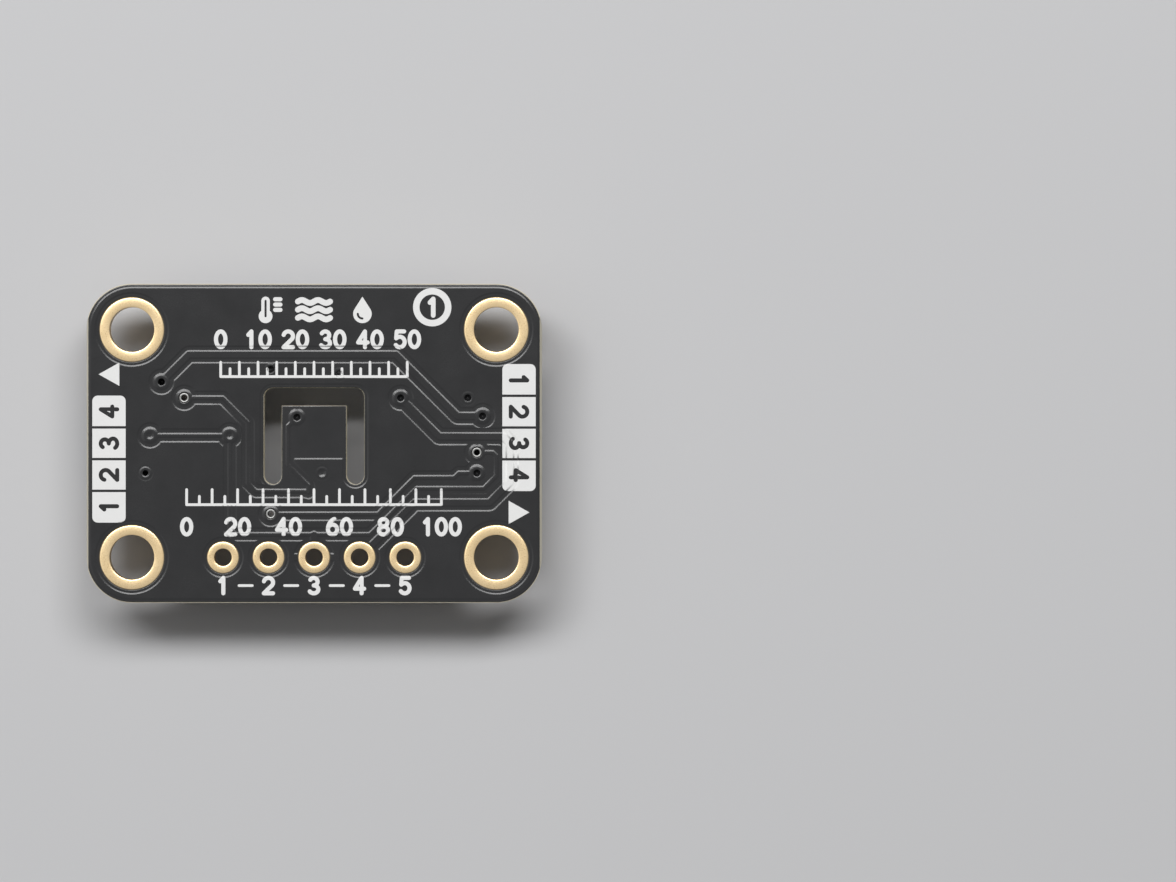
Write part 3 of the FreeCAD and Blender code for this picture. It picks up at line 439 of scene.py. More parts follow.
land_reaches = [(trace_vias, LAND_REACH, 32), (mounting_places, MOUNTING_RING, 64),
                (header_places, HEADER_RING, 36)]
spoke_ends = HEADER_RING + COPPER_GAP * 1.5
spokes = [[(middle_header[0] - spoke_ends, middle_header[1]),
           (middle_header[0] + spoke_ends, middle_header[1])],
          [middle_header, (middle_header[0], middle_header[1] + spoke_ends)]]


def smooth_slopes(piece):
    """Sloping faces are shaded round, and level ones and walls stay flat."""
    for face in piece.data.polygons:
        face.use_smooth = 0.35 < abs(face.normal.z) < 0.9999


def ease(share):
    """Soft step from 0 to 1."""
    share = numpy.clip(share, 0, 1)
    return share * share * (3 - 2 * share)


def in_ground(spots, traces):
    """Distance inside the ground copper, which the traces, lands and rings push back."""
    copper = [off_path(spots, route) - half for route, half in traces]
    copper += [off_places(spots, places) - reach for places, reach, _ in land_reaches]
    return numpy.minimum(inside_cuts(spots, COPPER_SETBACK, COPPER_SETBACK),
                         numpy.minimum.reduce(copper) - COPPER_GAP)


def in_back_copper(spots):
    """Distance of each spot inside the back's copper."""
    x, y = spots[:, 0], spots[:, 1]
    on_tongue = numpy.minimum(inner_slot - abs(x), SLOT[1][1] - y)
    bare = numpy.minimum(on_tongue, numpy.maximum(y - TONGUE_TOP, TONGUE_LEFT - x))
    bare = numpy.minimum(bare, y - SLOT[0][1])
    bare = numpy.maximum(bare, ISLAND_REACH - off_places(spots, laid_out(ETCHED_ISLANDS)))
    copper = numpy.minimum(in_ground(spots, back_traces), -bare)
    for route, half in back_traces:
        copper = numpy.maximum(copper, half - off_path(spots, route))
    for spoke in spokes:
        copper = numpy.maximum(copper, SPOKE_HALF - off_path(spots, spoke))
    return copper


mask_openings = [(mounting_places, MOUNTING_RING + RING_MARGIN),
                 (header_places, HEADER_RING + RING_MARGIN),
                 (ringed_vias, RINGED_OPENING), (open_vias, OPEN_REACH)]


def mask_rim(spots):
    """Distance of each spot inside the mask's own edges, which chip back from the cuts."""
    limits = [inside_cuts(spots, EDGE_BARE, SLOT_BARE), score_x - abs(spots[:, 0])]
    limits += [off_places(spots, places) - reach for places, reach in mask_openings]
    return numpy.minimum.reduce(limits)


STEPS = (-STEP_REACH, -STEP_REACH * 0.6, STEP_REACH * 0.6, STEP_REACH)


def relief_lines(traces):
    """Lines that the mask's surface bends along."""
    lines = []
    for inset in (0, RIM_REACH * 0.5, RIM_REACH):
        lines += [edge_line(inset + EDGE_BARE), line_round(SLOT, SLOT_REACH + SLOT_BARE + inset, 16)]
        lines += upright_lines(score_x - inset)
        lines += [ring_line(place, reach + inset, 72 if reach > 1 else 36)
                  for places, reach in mask_openings for place in places]
    for step in STEPS:
        inset = COPPER_SETBACK + step
        lines += [edge_line(inset), line_round(SLOT, SLOT_REACH + inset, 16)]
        for route, half in traces:
            lines += [line_round(route, half - step), line_round(route, half + COPPER_GAP + step)]
        lines += [ring_line(place, reach + COPPER_GAP + step, steps)
                  for places, reach, steps in land_reaches for place in places]
    for share in (0, 0.2, 0.4, 0.6, 0.8, 1):
        reach = LAND_REACH + STEP_REACH - LAND_SLOPE * share
        lines += [ring_line(place, reach, 36) for place in trace_vias]
        reach = COLLAR_REACH - COLLAR_WIDTH * share
        lines += [ring_line(place, reach, 32) for place in ground_vias]
    wells = [WELL_REACH + MOUTH_REACH * share for share in (0, 0.25, 0.5, 0.75, 1)]
    wells += [WELL_FLOOR * share for share in (1, 0.75, DISH_FLOOR, 0.1)]
    lines += [ring_line(place, reach, 28) for place in tented_vias for reach in wells]
    return lines


def relief(spots, copper):
    """Height of the mask over the laminate: copper steps, domed lands, soft rims and via wells."""
    step = COPPER_STEP * ease((copper(spots) + STEP_REACH) / (2 * STEP_REACH))
    land = numpy.clip((LAND_REACH + STEP_REACH - off_places(spots, trace_vias)) / LAND_SLOPE, 0, 1)
    height = FILM + numpy.maximum(step, LAND_RISE * numpy.sin(land * math.pi / 2))
    wave = numpy.clip((COLLAR_REACH - off_places(spots, ground_vias)) / COLLAR_WIDTH, 0, 1)
    swell = COLLAR_RISE * numpy.where(off_places(spots, open_vias) < COLLAR_REACH, OPEN_SWELL, 1)
    height -= swell * numpy.sin(wave * 2 * math.pi)
    fall = RIM_FALL * (1 - ease(mask_rim(spots) / RIM_REACH))
    height = numpy.maximum(height - fall, LEAST_FILM)
    height -= EDGE_SAG * (1 - ease(inside_cuts(spots, EDGE_BARE, SLOT_BARE) / RIM_REACH))
    away = off_places(spots, tented_vias)
    depth = numpy.where(off_places(spots, laid_out([DEEP_VIA])) < WELL_REACH, DEEP_WELL, WELL_DEPTH)
    well = MOUTH_FALL * (1 - ease((away - WELL_REACH) / MOUTH_REACH))
    well += depth * (1 - ease((away - WELL_FLOOR) / (WELL_REACH - WELL_FLOOR)))
    well += WELL_POINT * numpy.clip(1 - (away / WELL_FLOOR) ** WELL_CURVE, 0, 1)
    dish_reach = WELL_REACH + MOUTH_REACH / 2
    dish = DISH_SLOPE * (dish_reach - numpy.clip(away, WELL_FLOOR * DISH_FLOOR, dish_reach))
    shallow = off_places(spots, laid_out(SHALLOW_VIAS)) < WELL_REACH + MOUTH_REACH
    return height - numpy.where(shallow, dish, well)


def underside(spots, height):
    """How far the mask's back lies under its laminate: it lines the open vias a little way down."""
    depth = numpy.maximum(SAGGING_FILM - height, 0)
    lined = off_places(spots, open_vias) < OPEN_REACH * 1.01
    return numpy.where(lined, OPEN_LINING, depth)


back_lines = relief_lines(back_traces)
for step in STEPS:
    back_lines += [line_round(spoke, SPOKE_HALF - step) for spoke in spokes]
    level = TONGUE_TOP - step
    edge = TONGUE_LEFT - step
    back_lines += [[(-inner_slot, level), (inner_slot, level)],
                   [(edge, SLOT[0][1]), (edge, SLOT[1][1])]]
spots, faces = triangulate(back_lines)
back_relief = relief(spots, in_back_copper)
back_mask = closed_sheet("back_mask", spots, faces, mask_rim(middles(spots, faces)) > SLIVER,
                         board_high.z + back_relief, board_high.z - underside(spots, back_relief))
smooth_slopes(back_mask)


def mask_paint():
    """Black lacquer with a faint orange peel, a little thinner and greyer in broad patches."""
    paint, tree, grain, mottle = grained_paint("black_lacquer", 0.3, 0.00009, 0.0022)
    colour = blend(tree, mottle, (0.005, 0.005, 0.0055), (0.014, 0.014, 0.015))
    colour = blend(tree, grain, colour, (0.030, 0.030, 0.032), 0.25)
    return finished(paint, colour, calc(tree, "ADD", grain, mottle), 0.0000035,
                    scaled(tree, mottle, 0.12, 0.19))


black_lacquer = mask_paint()
back_mask.data.materials.append(black_lacquer)
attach(back_mask, "root")
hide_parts("back_solder_mask")

# White ink. Screen-printed epoxy ink that lies over the mask and follows its steps, with round
# ends to its strokes. It carries only plain scales, pin numbers and signs for heat, air and
# water.
INK_LIFT = 0.015
INK_TOP = 0.07
INK_KEY = 0.003
WAVE_HALF = 0.16
NUMBER_HALF = 0.115
TICK_HALF = 0.075
SHINE_HALF = 0.06
BADGE_HALF = 0.18
BADGE_NUMBER_HALF = 0.13
PARTING_HALF = 0.07
DIGIT_SHAPE = 0.6
DIGIT_SPACE = 0.3
SIGN_OFFSET, SIGN_BASE, SIGN_HEIGHT = 2.7, 6.7, 1.48
WAVE_BASE, WAVE_HEIGHT = 6.85, 1.2
BADGE, BADGE_REACH = (6.59, 7.59), 0.89
BADGE_NUMBER = (6.62, 7.13)
PIN_BASE, DASH_LEVEL = -8.36, -7.93
DASH = (0.9, 1.64)
DIGIT_HEIGHT = 0.86
TALL_DIGIT = 0.92
BLOCK_LEFT, BLOCK_RIGHT, BLOCK_LOW, BLOCK_HIGH = -12.36, -10.5, -4.42, 2.66
BLOCK_ROUND = 0.3
SCALE_SPACES = 20
POINTER_INSET = 0.35
POINTER = (3.2, 3.85, 4.5)

# Middle lines of the strokes of each digit that the print uses, in a box one wide and one high.
DIGITS = {
    "0": [arc((0.5, 0.5), 0.5, 90, 450, 24)],
    "1": [[(0.22, 0.78), (0.55, 1), (0.55, 0)]],
    "2": [arc((0.5, 0.7), 0.5, 165, -35, 14, 0.6) + [(0, 0), (1, 0)]],
    "3": [arc((0.47, 0.755), 0.42, 150, -90, 14, 0.58) + arc((0.47, 0.255), 0.5, 90, -150, 14, 0.51)],
    "4": [[(0.72, 0), (0.72, 1), (0, 0.3), (1, 0.3)]],
    "5": [[(0.92, 1), (0.14, 1), (0.08, 0.56)] + arc((0.46, 0.33), 0.52, 125, -145, 14, 0.64)],
    "6": [arc((0.5, 0.32), 0.5, 0, 360, 24, 0.64), arc((1.0, 0.32), 1.0, 180, 108, 10, 0.72)],
    "8": [arc((0.5, 0.76), 0.42, -90, 270, 20, 0.57), arc((0.5, 0.26), 0.5, 90, 450, 24, 0.52)],
}


def number_paths(number, middle, base, height):
    """Strokes of a number centred over a middle, in millimetres."""
    step = (DIGIT_SHAPE + DIGIT_SPACE) * height
    digits = str(number)
    left = middle - (len(digits) * step - DIGIT_SPACE * height) / 2
    return [[(left + step * index + x * DIGIT_SHAPE * height, base + y * height) for x, y in path]
            for index, digit in enumerate(digits) for path in DIGITS[digit]]


def scale_paths(reach, base, height):
    """Level line across the middle with ticks up from it, and every second tick longer."""
    paths = [[(-reach, base), (reach, base)]]
    for n in range(SCALE_SPACES + 1):
        x = reach * 2 * n / SCALE_SPACES - reach
        paths.append([(x, base), (x, base + height * (0.55 if n % 2 else 1))])
    return paths


def heat_sign(x, base, height):
    """Thermometer: its outline, the bare line up its stem, and three short marks beside it."""
    bulb = height * 0.26
    stem = height * 0.16
    low = base + bulb
    top = base + height - stem
    start = math.degrees(math.acos(stem / bulb))
    outline = arc((x, top), stem, 0, 180, 10) + arc((x, low), bulb, 180 - start, 360 + start, 24)
    marks = [[(x + height * 0.36, base + height * share), (x + height * 0.56, base + height * share)]
             for share in (0.5, 0.7, 0.9)]
    return outline, [(x, low), (x, top)], marks


def air_sign(x, base, height):
    """Three even waves."""
    wave = [(n / 24, math.sin(n / 24 * 4 * math.pi)) for n in range(25)]
    return [[(x + (share - 0.5) * height * 1.5, base + height * (level + 0.07 * rise))
             for share, rise in wave] for level in (0.12, 0.5, 0.88)]


def water_sign(x, base, height):
    """Drop: its outline, and the bare line of a shine inside its round end."""
    reach = height * 0.35
    low = base + reach
    outline = arc((x, low), reach, -212, 32, 24) + [(x, base + height)]
    return outline, arc((x, low), reach * 0.5, 180, 270, 8)


def numbered_scale(reach, base, height, numbers, number_base, number_height):
    """Scale with each number centred over its own tick."""
    strokes = [(path, TICK_HALF) for path in scale_paths(reach, base, height)]
    for number in numbers:
        middle = reach * (2 * number / numbers[-1] - 1)
        strokes += [(path, NUMBER_HALF)
                    for path in number_paths(number, middle, number_base, number_height)]
    return strokes


def print_strokes():
    """Strokes of the whole print but the side blocks, as (path, half width)."""
    strokes = [(path, WAVE_HALF) for path in air_sign(0, WAVE_BASE, WAVE_HEIGHT)]
    strokes += [(path, NUMBER_HALF) for path in heat_marks]
    strokes.append((arc(BADGE, BADGE_REACH, 0, 360, 40), BADGE_HALF))
    strokes += [(path, BADGE_NUMBER_HALF) for path in number_paths(1, *BADGE_NUMBER, TALL_DIGIT)]
    strokes += numbered_scale(reach=5.2, base=3.72, height=0.8, numbers=range(0, 60, 10),
                              number_base=5.36, number_height=0.88)
    strokes += numbered_scale(reach=7.1, base=-3.42, height=0.84, numbers=range(0, 120, 20),
                              number_base=-5.08, number_height=DIGIT_HEIGHT)
    for number, (x, y) in enumerate(header_places, 1):
        strokes += [(path, NUMBER_HALF) for path in number_paths(number, x, PIN_BASE, DIGIT_HEIGHT)]
        if number < len(header_places):
            strokes.append(([(x + end, DASH_LEVEL) for end in DASH], TICK_HALF))
    return strokes


def side_block():
    """Block beside the left edge and the strokes left bare in it: contact numbers, turned."""
    middle = (BLOCK_LEFT + BLOCK_RIGHT) / 2
    length = BLOCK_HIGH - BLOCK_LOW
    block = [(x + middle, y + BLOCK_LOW + length / 2)
             for x, y in plate_line(BLOCK_RIGHT - middle, length / 2, BLOCK_ROUND, 5)]
    bare = []
    for number in range(1, 5):
        centre = BLOCK_LOW + length * (number - 0.5) / 4
        bare += [([(middle - y, centre + x) for x, y in path], NUMBER_HALF)
                 for path in number_paths(number, 0, -TALL_DIGIT / 2, TALL_DIGIT)]
    for number in range(1, 4):
        parting = BLOCK_LOW + length * number / 4
        bare.append(([(BLOCK_LEFT - BLOCK_ROUND, parting), (BLOCK_RIGHT + BLOCK_ROUND, parting)],
                     PARTING_HALF))
    pointer = [(BLOCK_LEFT + POINTER_INSET, POINTER[1]), (BLOCK_RIGHT - POINTER_INSET, POINTER[0]),
               (BLOCK_RIGHT - POINTER_INSET, POINTER[2])]
    return block, bare, pointer


def turned_about(lines):
    return [[(-x, -y) for x, y in line] for line in lines]


def inside_corners(spots, line):
    """True for spots within a closed line."""
    inside = numpy.zeros(len(spots), bool)
    x, y = spots[:, 0], spots[:, 1]
    for (x0, y0), (x1, y1) in zip(line, line[1:] + line[:1]):
        if y0 != y1:
            crosses = (y0 > y) != (y1 > y)
            inside ^= crosses & (x < (x1 - x0) * (y - y0) / (y1 - y0) + x0)
    return inside


def within_strokes(spots, strokes):
    """True for spots on any of the strokes."""
    on = numpy.zeros(len(spots), bool)
    for path, half in strokes:
        low = numpy.min(path, axis=0) - half
        high = numpy.max(path, axis=0) + half
        near = numpy.flatnonzero(((spots > low) & (spots < high)).all(axis=1))
        if len(near):
            on[near] |= off_path(spots[near], path) < half * 0.998
    return on


heat_outline, heat_line, heat_marks = heat_sign(-SIGN_OFFSET, SIGN_BASE, SIGN_HEIGHT)
water_outline, water_line = water_sign(SIGN_OFFSET, SIGN_BASE, SIGN_HEIGHT)
strokes = print_strokes()
block, bare, pointer = side_block()
plates = [block, pointer] + turned_about([block, pointer]) + [heat_outline, water_outline]
bare += [(turned_about([path])[0], half) for path, half in bare]
bare += [(heat_line, SHINE_HALF), (water_line, SHINE_HALF)]
ink_lines = plates + [line_round(path, half, 6) for path, half in strokes + bare]
spots, faces = triangulate(back_lines + ink_lines)
centres = middles(spots, faces)
inked = numpy.logical_or.reduce([inside_corners(centres, plate) for plate in plates])
inked &= ~within_strokes(centres, bare)
inked |= within_strokes(centres, strokes)
inked &= mask_rim(centres) > SLIVER
lift = relief(spots, in_back_copper)
ink = closed_sheet("white_print", spots, faces, inked,
                   board_high.z + numpy.minimum(lift + INK_LIFT, INK_TOP),
                   board_high.z + lift - INK_KEY)
smooth_slopes(ink)


def ink_paint():
    """Thick white ink, a little uneven from the screen's mesh."""
    paint, tree, grain, mottle = grained_paint("screen_white", 0.58, 0.00005, 0.0007)
    colour = blend(tree, grain, (0.84, 0.84, 0.83), (0.93, 0.93, 0.92))
    colour = blend(tree, mottle, colour, (0.74, 0.74, 0.74), 0.3)
    return finished(paint, colour, grain, 0.000006)


ink.data.materials.append(ink_paint())
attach(ink, "root")
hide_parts("back_ink_fields")

# Plated holes. Copper barrels with a flat ring on each face, built up on the board's own copper
# in the mask's openings. The large ones are nickel plated and flashed with gold, and the small
# rings of the bare vias have a dull, pale coat.
PLATING = 0.035
MOUNTING_BORE = 1.25
HEADER_BORE = 0.49
VIA_BORE = 0.165
VIA_RING = 0.28
RING_LIP = 0.07
RING_DROP = 0.026
VIA_LIP = 0.055


def lathe_group():
    """A hole's wall and rings: one closed section swept round a circle, set on each point."""
    group = bpy.data.node_groups.new("plated_hole", "GeometryNodeTree")
    sizes = ["Bore", "Ring", "Low", "High", "Skin", "Lip", "Drop"]
    kinds = {"Places": "Geometry", **dict.fromkeys(sizes, "Float"), "Steps": "Int",
             "Paint": "Material"}
    for name, kind in kinds.items():
        group.interface.new_socket(name, in_out="INPUT", socket_type="NodeSocket" + kind)
    group.interface.new_socket("Holes", in_out="OUTPUT", socket_type="NodeSocketGeometry")
    start = group.nodes.new("NodeGroupInput").outputs
    end = group.nodes.new("NodeGroupOutput").inputs
    low, high, skin, lip, drop = (start[name] for name in ("Low", "High", "Skin", "Lip", "Drop"))
    reach = calc(group, "SUBTRACT", start["Ring"], start["Bore"])
    shoulder = calc(group, "MULTIPLY", lip, 0.3)
    outer_lip, outer_shoulder = (calc(group, "SUBTRACT", reach, gap) for gap in (lip, shoulder))
    section = []
    for face, way, turn in ((low, "ADD", 1), (high, "SUBTRACT", -1)):
        edge, eased, back = (calc(group, way, face, gap)
                             for gap in (drop, calc(group, "MULTIPLY", drop, 0.4), skin))
        side = [(0.0, edge), (shoulder, eased), (lip, face), (outer_lip, face),
                (outer_shoulder, eased), (reach, edge), (reach, back), (skin, back)]
        section += side[::turn]
    picker = add_node(group, "GeometryNodeIndexSwitch", {"data_type": "VECTOR"})
    while len(picker.index_switch_items) < len(section):
        picker.index_switch_items.new()

    def made(kind, inputs=(), settings=()):
        return add_node(group, "GeometryNode" + kind, settings, inputs).outputs[0]

    group.links.new(made("InputIndex"), picker.inputs["Index"])
    for number, (across, up) in enumerate(section):
        # A section's own Y points down once it is swept round the circle.
        corner = add_node(group, "ShaderNodeCombineXYZ", {},
                          {"X": across, "Y": calc(group, "MULTIPLY", up, -1.0)})
        group.links.new(corner.outputs[0], picker.inputs[str(number)])
    line = made("MeshLine", {"Count": len(section)})
    bent = made("SetPosition", {"Geometry": line, "Position": picker.outputs[0]})
    curve = made("MeshToCurve", {"Mesh": bent})
    profile = made("SetSplineCyclic", {"Geometry": curve, "Cyclic": True})
    circle = made("CurvePrimitiveCircle", {"Resolution": start["Steps"], "Radius": start["Bore"]},
                  {"mode": "RADIUS"})
    swept = made("CurveToMesh", {"Curve": circle, "Profile Curve": profile})
    placed = made("InstanceOnPoints", {"Points": start["Places"], "Instance": swept})
    real = made("RealizeInstances", {"Geometry": placed})
    painted = made("SetMaterial", {"Geometry": real, "Material": start["Paint"]})
    group.links.new(painted, end["Holes"])
    return group


def grown(name, places, group, **sizes):
    """Plain mesh that a node group makes from points."""
    piece = new_piece(name, [(x * MM, y * MM, 0) for x, y in places], [])
    live = piece.modifiers.new("shape", "NODES")
    live.node_group = group
    for item in group.interface.items_tree:
        if item.in_out == "INPUT" and item.name in sizes:
            live[item.identifier] = sizes[item.name]
    seen = piece.evaluated_get(bpy.context.evaluated_depsgraph_get())
    result = bpy.data.meshes.new_from_object(seen)
    piece.modifiers.remove(live)
    piece.data = result
    shape = bmesh.new()
    shape.from_mesh(result)
    bmesh.ops.recalc_face_normals(shape, faces=shape.faces)
    shape.to_mesh(result)
    shape.free()
    result.shade_smooth()
    result.set_sharp_from_angle(angle=math.radians(50))
    return piece


def plating_paint(name, least_rough, deep, even, worn):
    """Plated metal, faintly rough, deeper in patches and paler where it is worn."""
    paint, tree, grain, mottle = grained_paint(name, 0.3, 0.00006, 0.0009, metallic=1.0)
    colour = blend(tree, mottle, deep, even)
    colour = blend(tree, grain, colour, worn, 0.4)
    return finished(paint, colour, grain, 0.000004, scaled(tree, grain, 0.2, least_rough))


flash_gold = plating_paint("flash_gold", 0.2, (0.72, 0.50, 0.23), (0.90, 0.68, 0.39),
                           (0.95, 0.82, 0.58))
pale_plating = plating_paint("pale_plating", 0.32, (0.20, 0.20, 0.195), (0.31, 0.31, 0.30),
                             (0.42, 0.42, 0.41))
plated_hole = lathe_group()


def plating(name, places, bore, ring, lip, steps, paint):
    return grown(name, places, plated_hole, Bore=bore * MM, Ring=ring * MM, Lip=lip * MM,
                 Low=(board_low.z - PLATING) * MM, High=(board_high.z + PLATING) * MM,
                 Skin=PLATING * MM, Drop=RING_DROP * MM, Steps=steps, Paint=paint)


for nodes, places, bore, ring, steps in (
        (mounting_nodes, mounting_places, MOUNTING_BORE, MOUNTING_RING, 72),
        (header_nodes, header_places, HEADER_BORE, HEADER_RING, 48)):
    for node, place in zip(nodes, places):
        piece = plating(node + "_plating", [place], bore, ring, RING_LIP, steps, flash_gold)
        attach(piece, "root")
        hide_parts(node)
via_plating = plating("via_plating", ringed_vias + open_vias, VIA_BORE, VIA_RING, VIA_LIP, 32,
                      pale_plating)
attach(via_plating, "root")
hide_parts("via_barrels")

# Front mask. The same lacquer on the component side, which shows only from below. It is open
# over the lands, and plain routes join the sockets, the chips and the vias.
LAND_MARGIN = 0.02
LAND_COPPER = 0.06


def joined_shape(node):
    """Editable copy of a CAD node's shape, whose faces share their corners."""
    shape = bmesh.new()
    shape.from_mesh(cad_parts[node].data)
    bmesh.ops.remove_doubles(shape, verts=shape.verts, dist=1e-7)
    return shape


def island_boxes(node):
    """Box of each separate solid in a CAD node, in millimetres: (low x, low y, high x, high y)."""
    shape = joined_shape(node)
    waiting = set(shape.verts)
    boxes = []
    while waiting:
        island = [waiting.pop()]
        for corner in island:
            for edge in corner.link_edges:
                other = edge.other_vert(corner)
                if other in waiting:
                    waiting.remove(other)
                    island.append(other)
        x = [corner.co.x / MM for corner in island]
        y = [corner.co.y / MM for corner in island]
        boxes.append((min(x), min(y), max(x), max(y)))
    shape.free()
    return sorted(boxes)


def off_box(spots, box):
    """Distance of each spot from a box, negative inside it."""
    x0, y0, x1, y1 = box
    return -inside_plate(spots - ((x0 + x1) / 2, (y0 + y1) / 2), (x1 - x0) / 2, (y1 - y0) / 2, 0)


def box_line(box, margin):
    x0, y0, x1, y1 = box
    return [(x0 - margin, y0 - margin), (x1 + margin, y0 - margin),
            (x1 + margin, y1 + margin), (x0 - margin, y1 + margin)]


land_boxes = island_boxes("front_lands")
front_traces = [(route, TRACE_HALF) for route in (
    [(-8.05, -0.5), (-7.1, -0.5), (-6.8, -0.8), (-6.2, -0.8)],
    [(-8.05, -1.5), (-7.0, -1.5), (-6.9, -1.45), (-6.2, -1.45)],
    [(-8.05, 0.5), (-9.144, 0.4445)],
    [(8.05, -0.5), (9.0805, -0.508)],
    [(8.05, -1.5), (9.0805, -1.651)],
    [(-4.4, -0.8), (-3.6, -0.8), (-3.4, -1.0), (-3.4, -2.6), (-2.413, -3.937)],
    [(-0.55, 0.95), (-0.9525, 1.4605)],
    [(-4.45, 1.65), (-4.7, 0.44)],
    [(-5.08, -6.35), (-5.6, -5.4), (-5.6, -3.4), (-6.2, -2.1)],
)]
front_traces += [(route, SUPPLY_HALF) for route in (
    [(-8.05, 1.5), (-7.3, 2.0), (-7.3, 2.9), (-7.8, 3.429), (-8.509, 3.429)],
    [(8.05, 1.5), (9.398, 1.524)],
    [(2.1, 5.6), (3.25, 5.6)],
    [(4.826, 2.54), (4.826, 3.6), (5.6, 4.65)],
    [(5.08, -6.35), (5.08, -5.2), (4.6, -4.6), (4.6, -3.75)],
)]


def in_front_copper(spots):
    """Distance of each spot inside the component side's copper."""
    copper = in_ground(spots, front_traces)
    for box in land_boxes:
        copper = numpy.minimum(copper, off_box(spots, box) - COPPER_GAP)
    for route, half in front_traces:
        copper = numpy.maximum(copper, half - off_path(spots, route))
    for box in land_boxes:
        copper = numpy.maximum(copper, LAND_COPPER - off_box(spots, box))
    return copper


front_lines = relief_lines(front_traces)
for box in land_boxes:
    front_lines += [box_line(box, margin) for margin in
                    (LAND_MARGIN, LAND_COPPER + STEP_REACH, COPPER_GAP - STEP_REACH,
                     COPPER_GAP + STEP_REACH)]
spots, faces = triangulate(front_lines)
centres = middles(spots, faces)
kept = mask_rim(centres) > SLIVER
for box in land_boxes:
    kept &= off_box(centres, box) > LAND_MARGIN
front_relief = relief(spots, in_front_copper)
front_mask = closed_sheet("front_mask", spots, faces, kept,
                          board_low.z + underside(spots, front_relief),
                          board_low.z - front_relief)
smooth_slopes(front_mask)
front_mask.data.materials.append(black_lacquer)
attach(front_mask, "root")
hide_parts("front_solder_mask")

# Front lands. Etched copper under the same gold as the rings, one for every foot and terminal,
# left bare in the mask's openings.
LAND_EDGE = 0.012


def softened(node, name, paint, edge, sharp=0.4):
    """Copy of a CAD node's own shape with its sharp edges rounded a little."""
    shape = joined_shape(node)
    bmesh.ops.dissolve_limit(shape, angle_limit=0.01, verts=shape.verts, edges=shape.edges)
    corners = [line for line in shape.edges if line.is_manifold and line.calc_face_angle() > sharp]
    bmesh.ops.bevel(shape, geom=corners, offset=edge * MM, segments=2, profile=0.5,
                    affect="EDGES", clamp_overlap=True)
    mesh = bpy.data.meshes.new(name)
    shape.to_mesh(mesh)
    shape.free()
    mesh.materials.clear()
    mesh.materials.append(paint)
    mesh.shade_smooth()
    mesh.set_sharp_from_angle(angle=0.7)
    piece = new_object(name, mesh)
    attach(piece, "root")
    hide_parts(node)


softened("front_lands", "lands", flash_gold, LAND_EDGE)

# Sockets. Black nylon housings, moulded in one shot, each with four bent strips of tinned bronze
# pressed in from behind and two tinned tabs that are soldered down beside it.
HOUSING_EDGE = 0.05
CONTACT_EDGE = 0.045
TAB_EDGE = 0.04


def nylon_paint():
    """Moulded nylon: fine spark-eroded texture, with a satin sheen."""
    paint, tree, grain, mottle = grained_paint("moulded_nylon", 0.5, 0.00007, 0.0014)
    colour = blend(tree, grain, (0.018, 0.018, 0.019), (0.034, 0.034, 0.036))
    colour = blend(tree, mottle, colour, (0.05, 0.05, 0.052), 0.3)
    return finished(paint, colour, grain, 0.000010, scaled(tree, grain, 0.25, 0.38))


def tin_paint():
    """Tin plating drawn along the strip: soft streaks and a few dull patches."""
    paint, tree, grain, mottle = grained_paint("bright_tin", 0.3, 0.00005, 0.0005, metallic=1.0)
    drawn = add_node(tree, "ShaderNodeMapping", {}, {"Vector": own_place(tree),
                                                     "Scale": (800, 9000, 9000)})
    streaks = add_node(tree, "ShaderNodeTexNoise", {}, {"Vector": drawn.outputs[0], "Scale": 1.0,
                                                        "Detail": 3.0}).outputs["Fac"]
    colour = blend(tree, mottle, (0.80, 0.79, 0.76), (0.64, 0.63, 0.61))
    colour = blend(tree, streaks, colour, (0.88, 0.87, 0.85), 0.4)
    return finished(paint, colour, calc(tree, "ADD", streaks, grain), 0.000003,
                    scaled(tree, mottle, 0.28, 0.18))


moulded_nylon = nylon_paint()
bright_tin = tin_paint()
for side in ("left", "right"):
    softened(side + "_socket_housing", side + "_housing", moulded_nylon,
             HOUSING_EDGE)
    for number in range(1, 5):
        contact = "_contact_%d" % number
        softened(side + "_socket" + contact, side + contact, bright_tin,
                 CONTACT_EDGE)
    for tab in ("_tab_upper", "_tab_lower"):
        softened(side + "_socket" + tab, side + tab, bright_tin, TAB_EDGE)

# Chips. The regulator and the level shifter are moulded in black epoxy round bent, tinned legs,
# and a small dimple in the face beside the first leg says which way round they go.
CHIP_EDGE = 0.03
DIMPLE_ROUND = 0.14


def epoxy_paint(name, node, dot, dark, light):
    """Moulded epoxy with a fine frosted grain, and a shallow round dimple at a place: bumped in,
    smoother, and darkened with painted shade.
    """
    paint, tree, grain, mottle = grained_paint(name, 0.55, 0.00006, 0.0008)
    low, high = (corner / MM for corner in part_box(node))
    centre = (low.x + (high.x - low.x) * dot[0], low.y + (high.y - low.y) * dot[1], low.z)
    gap = add_node(tree, "ShaderNodeVectorMath", {"operation": "DISTANCE"},
                   {0: own_place(tree), 1: tuple(n * MM for n in centre)}).outputs["Value"]
    inside = calc(tree, "LESS_THAN", gap, DIMPLE_ROUND * MM)
    # The dimple's colour is darker: painted shade of the recess, beside its real bump and smoother
    # finish.
    colour = blend(tree, inside, blend(tree, grain, dark, light), tuple(n * 0.4 for n in dark), 0.5)
    rough = scaled(tree, inside, -0.2, scaled(tree, mottle, 0.2, 0.46))
    return finished(paint, colour, scaled(tree, grain, 0.3, scaled(tree, inside, -1.0)), 0.00003,
                    rough)


for name in ("regulator", "level_shifter"):
    paint = epoxy_paint(name + "_epoxy", name + "_package", (0.24, 0.84), (0.022, 0.022, 0.023),
                        (0.046, 0.046, 0.048))
    softened(name + "_package", name + "_body", paint, CHIP_EDGE, sharp=0.2)
    softened(name + "_legs", name + "_pins", bright_tin, CHIP_EDGE)

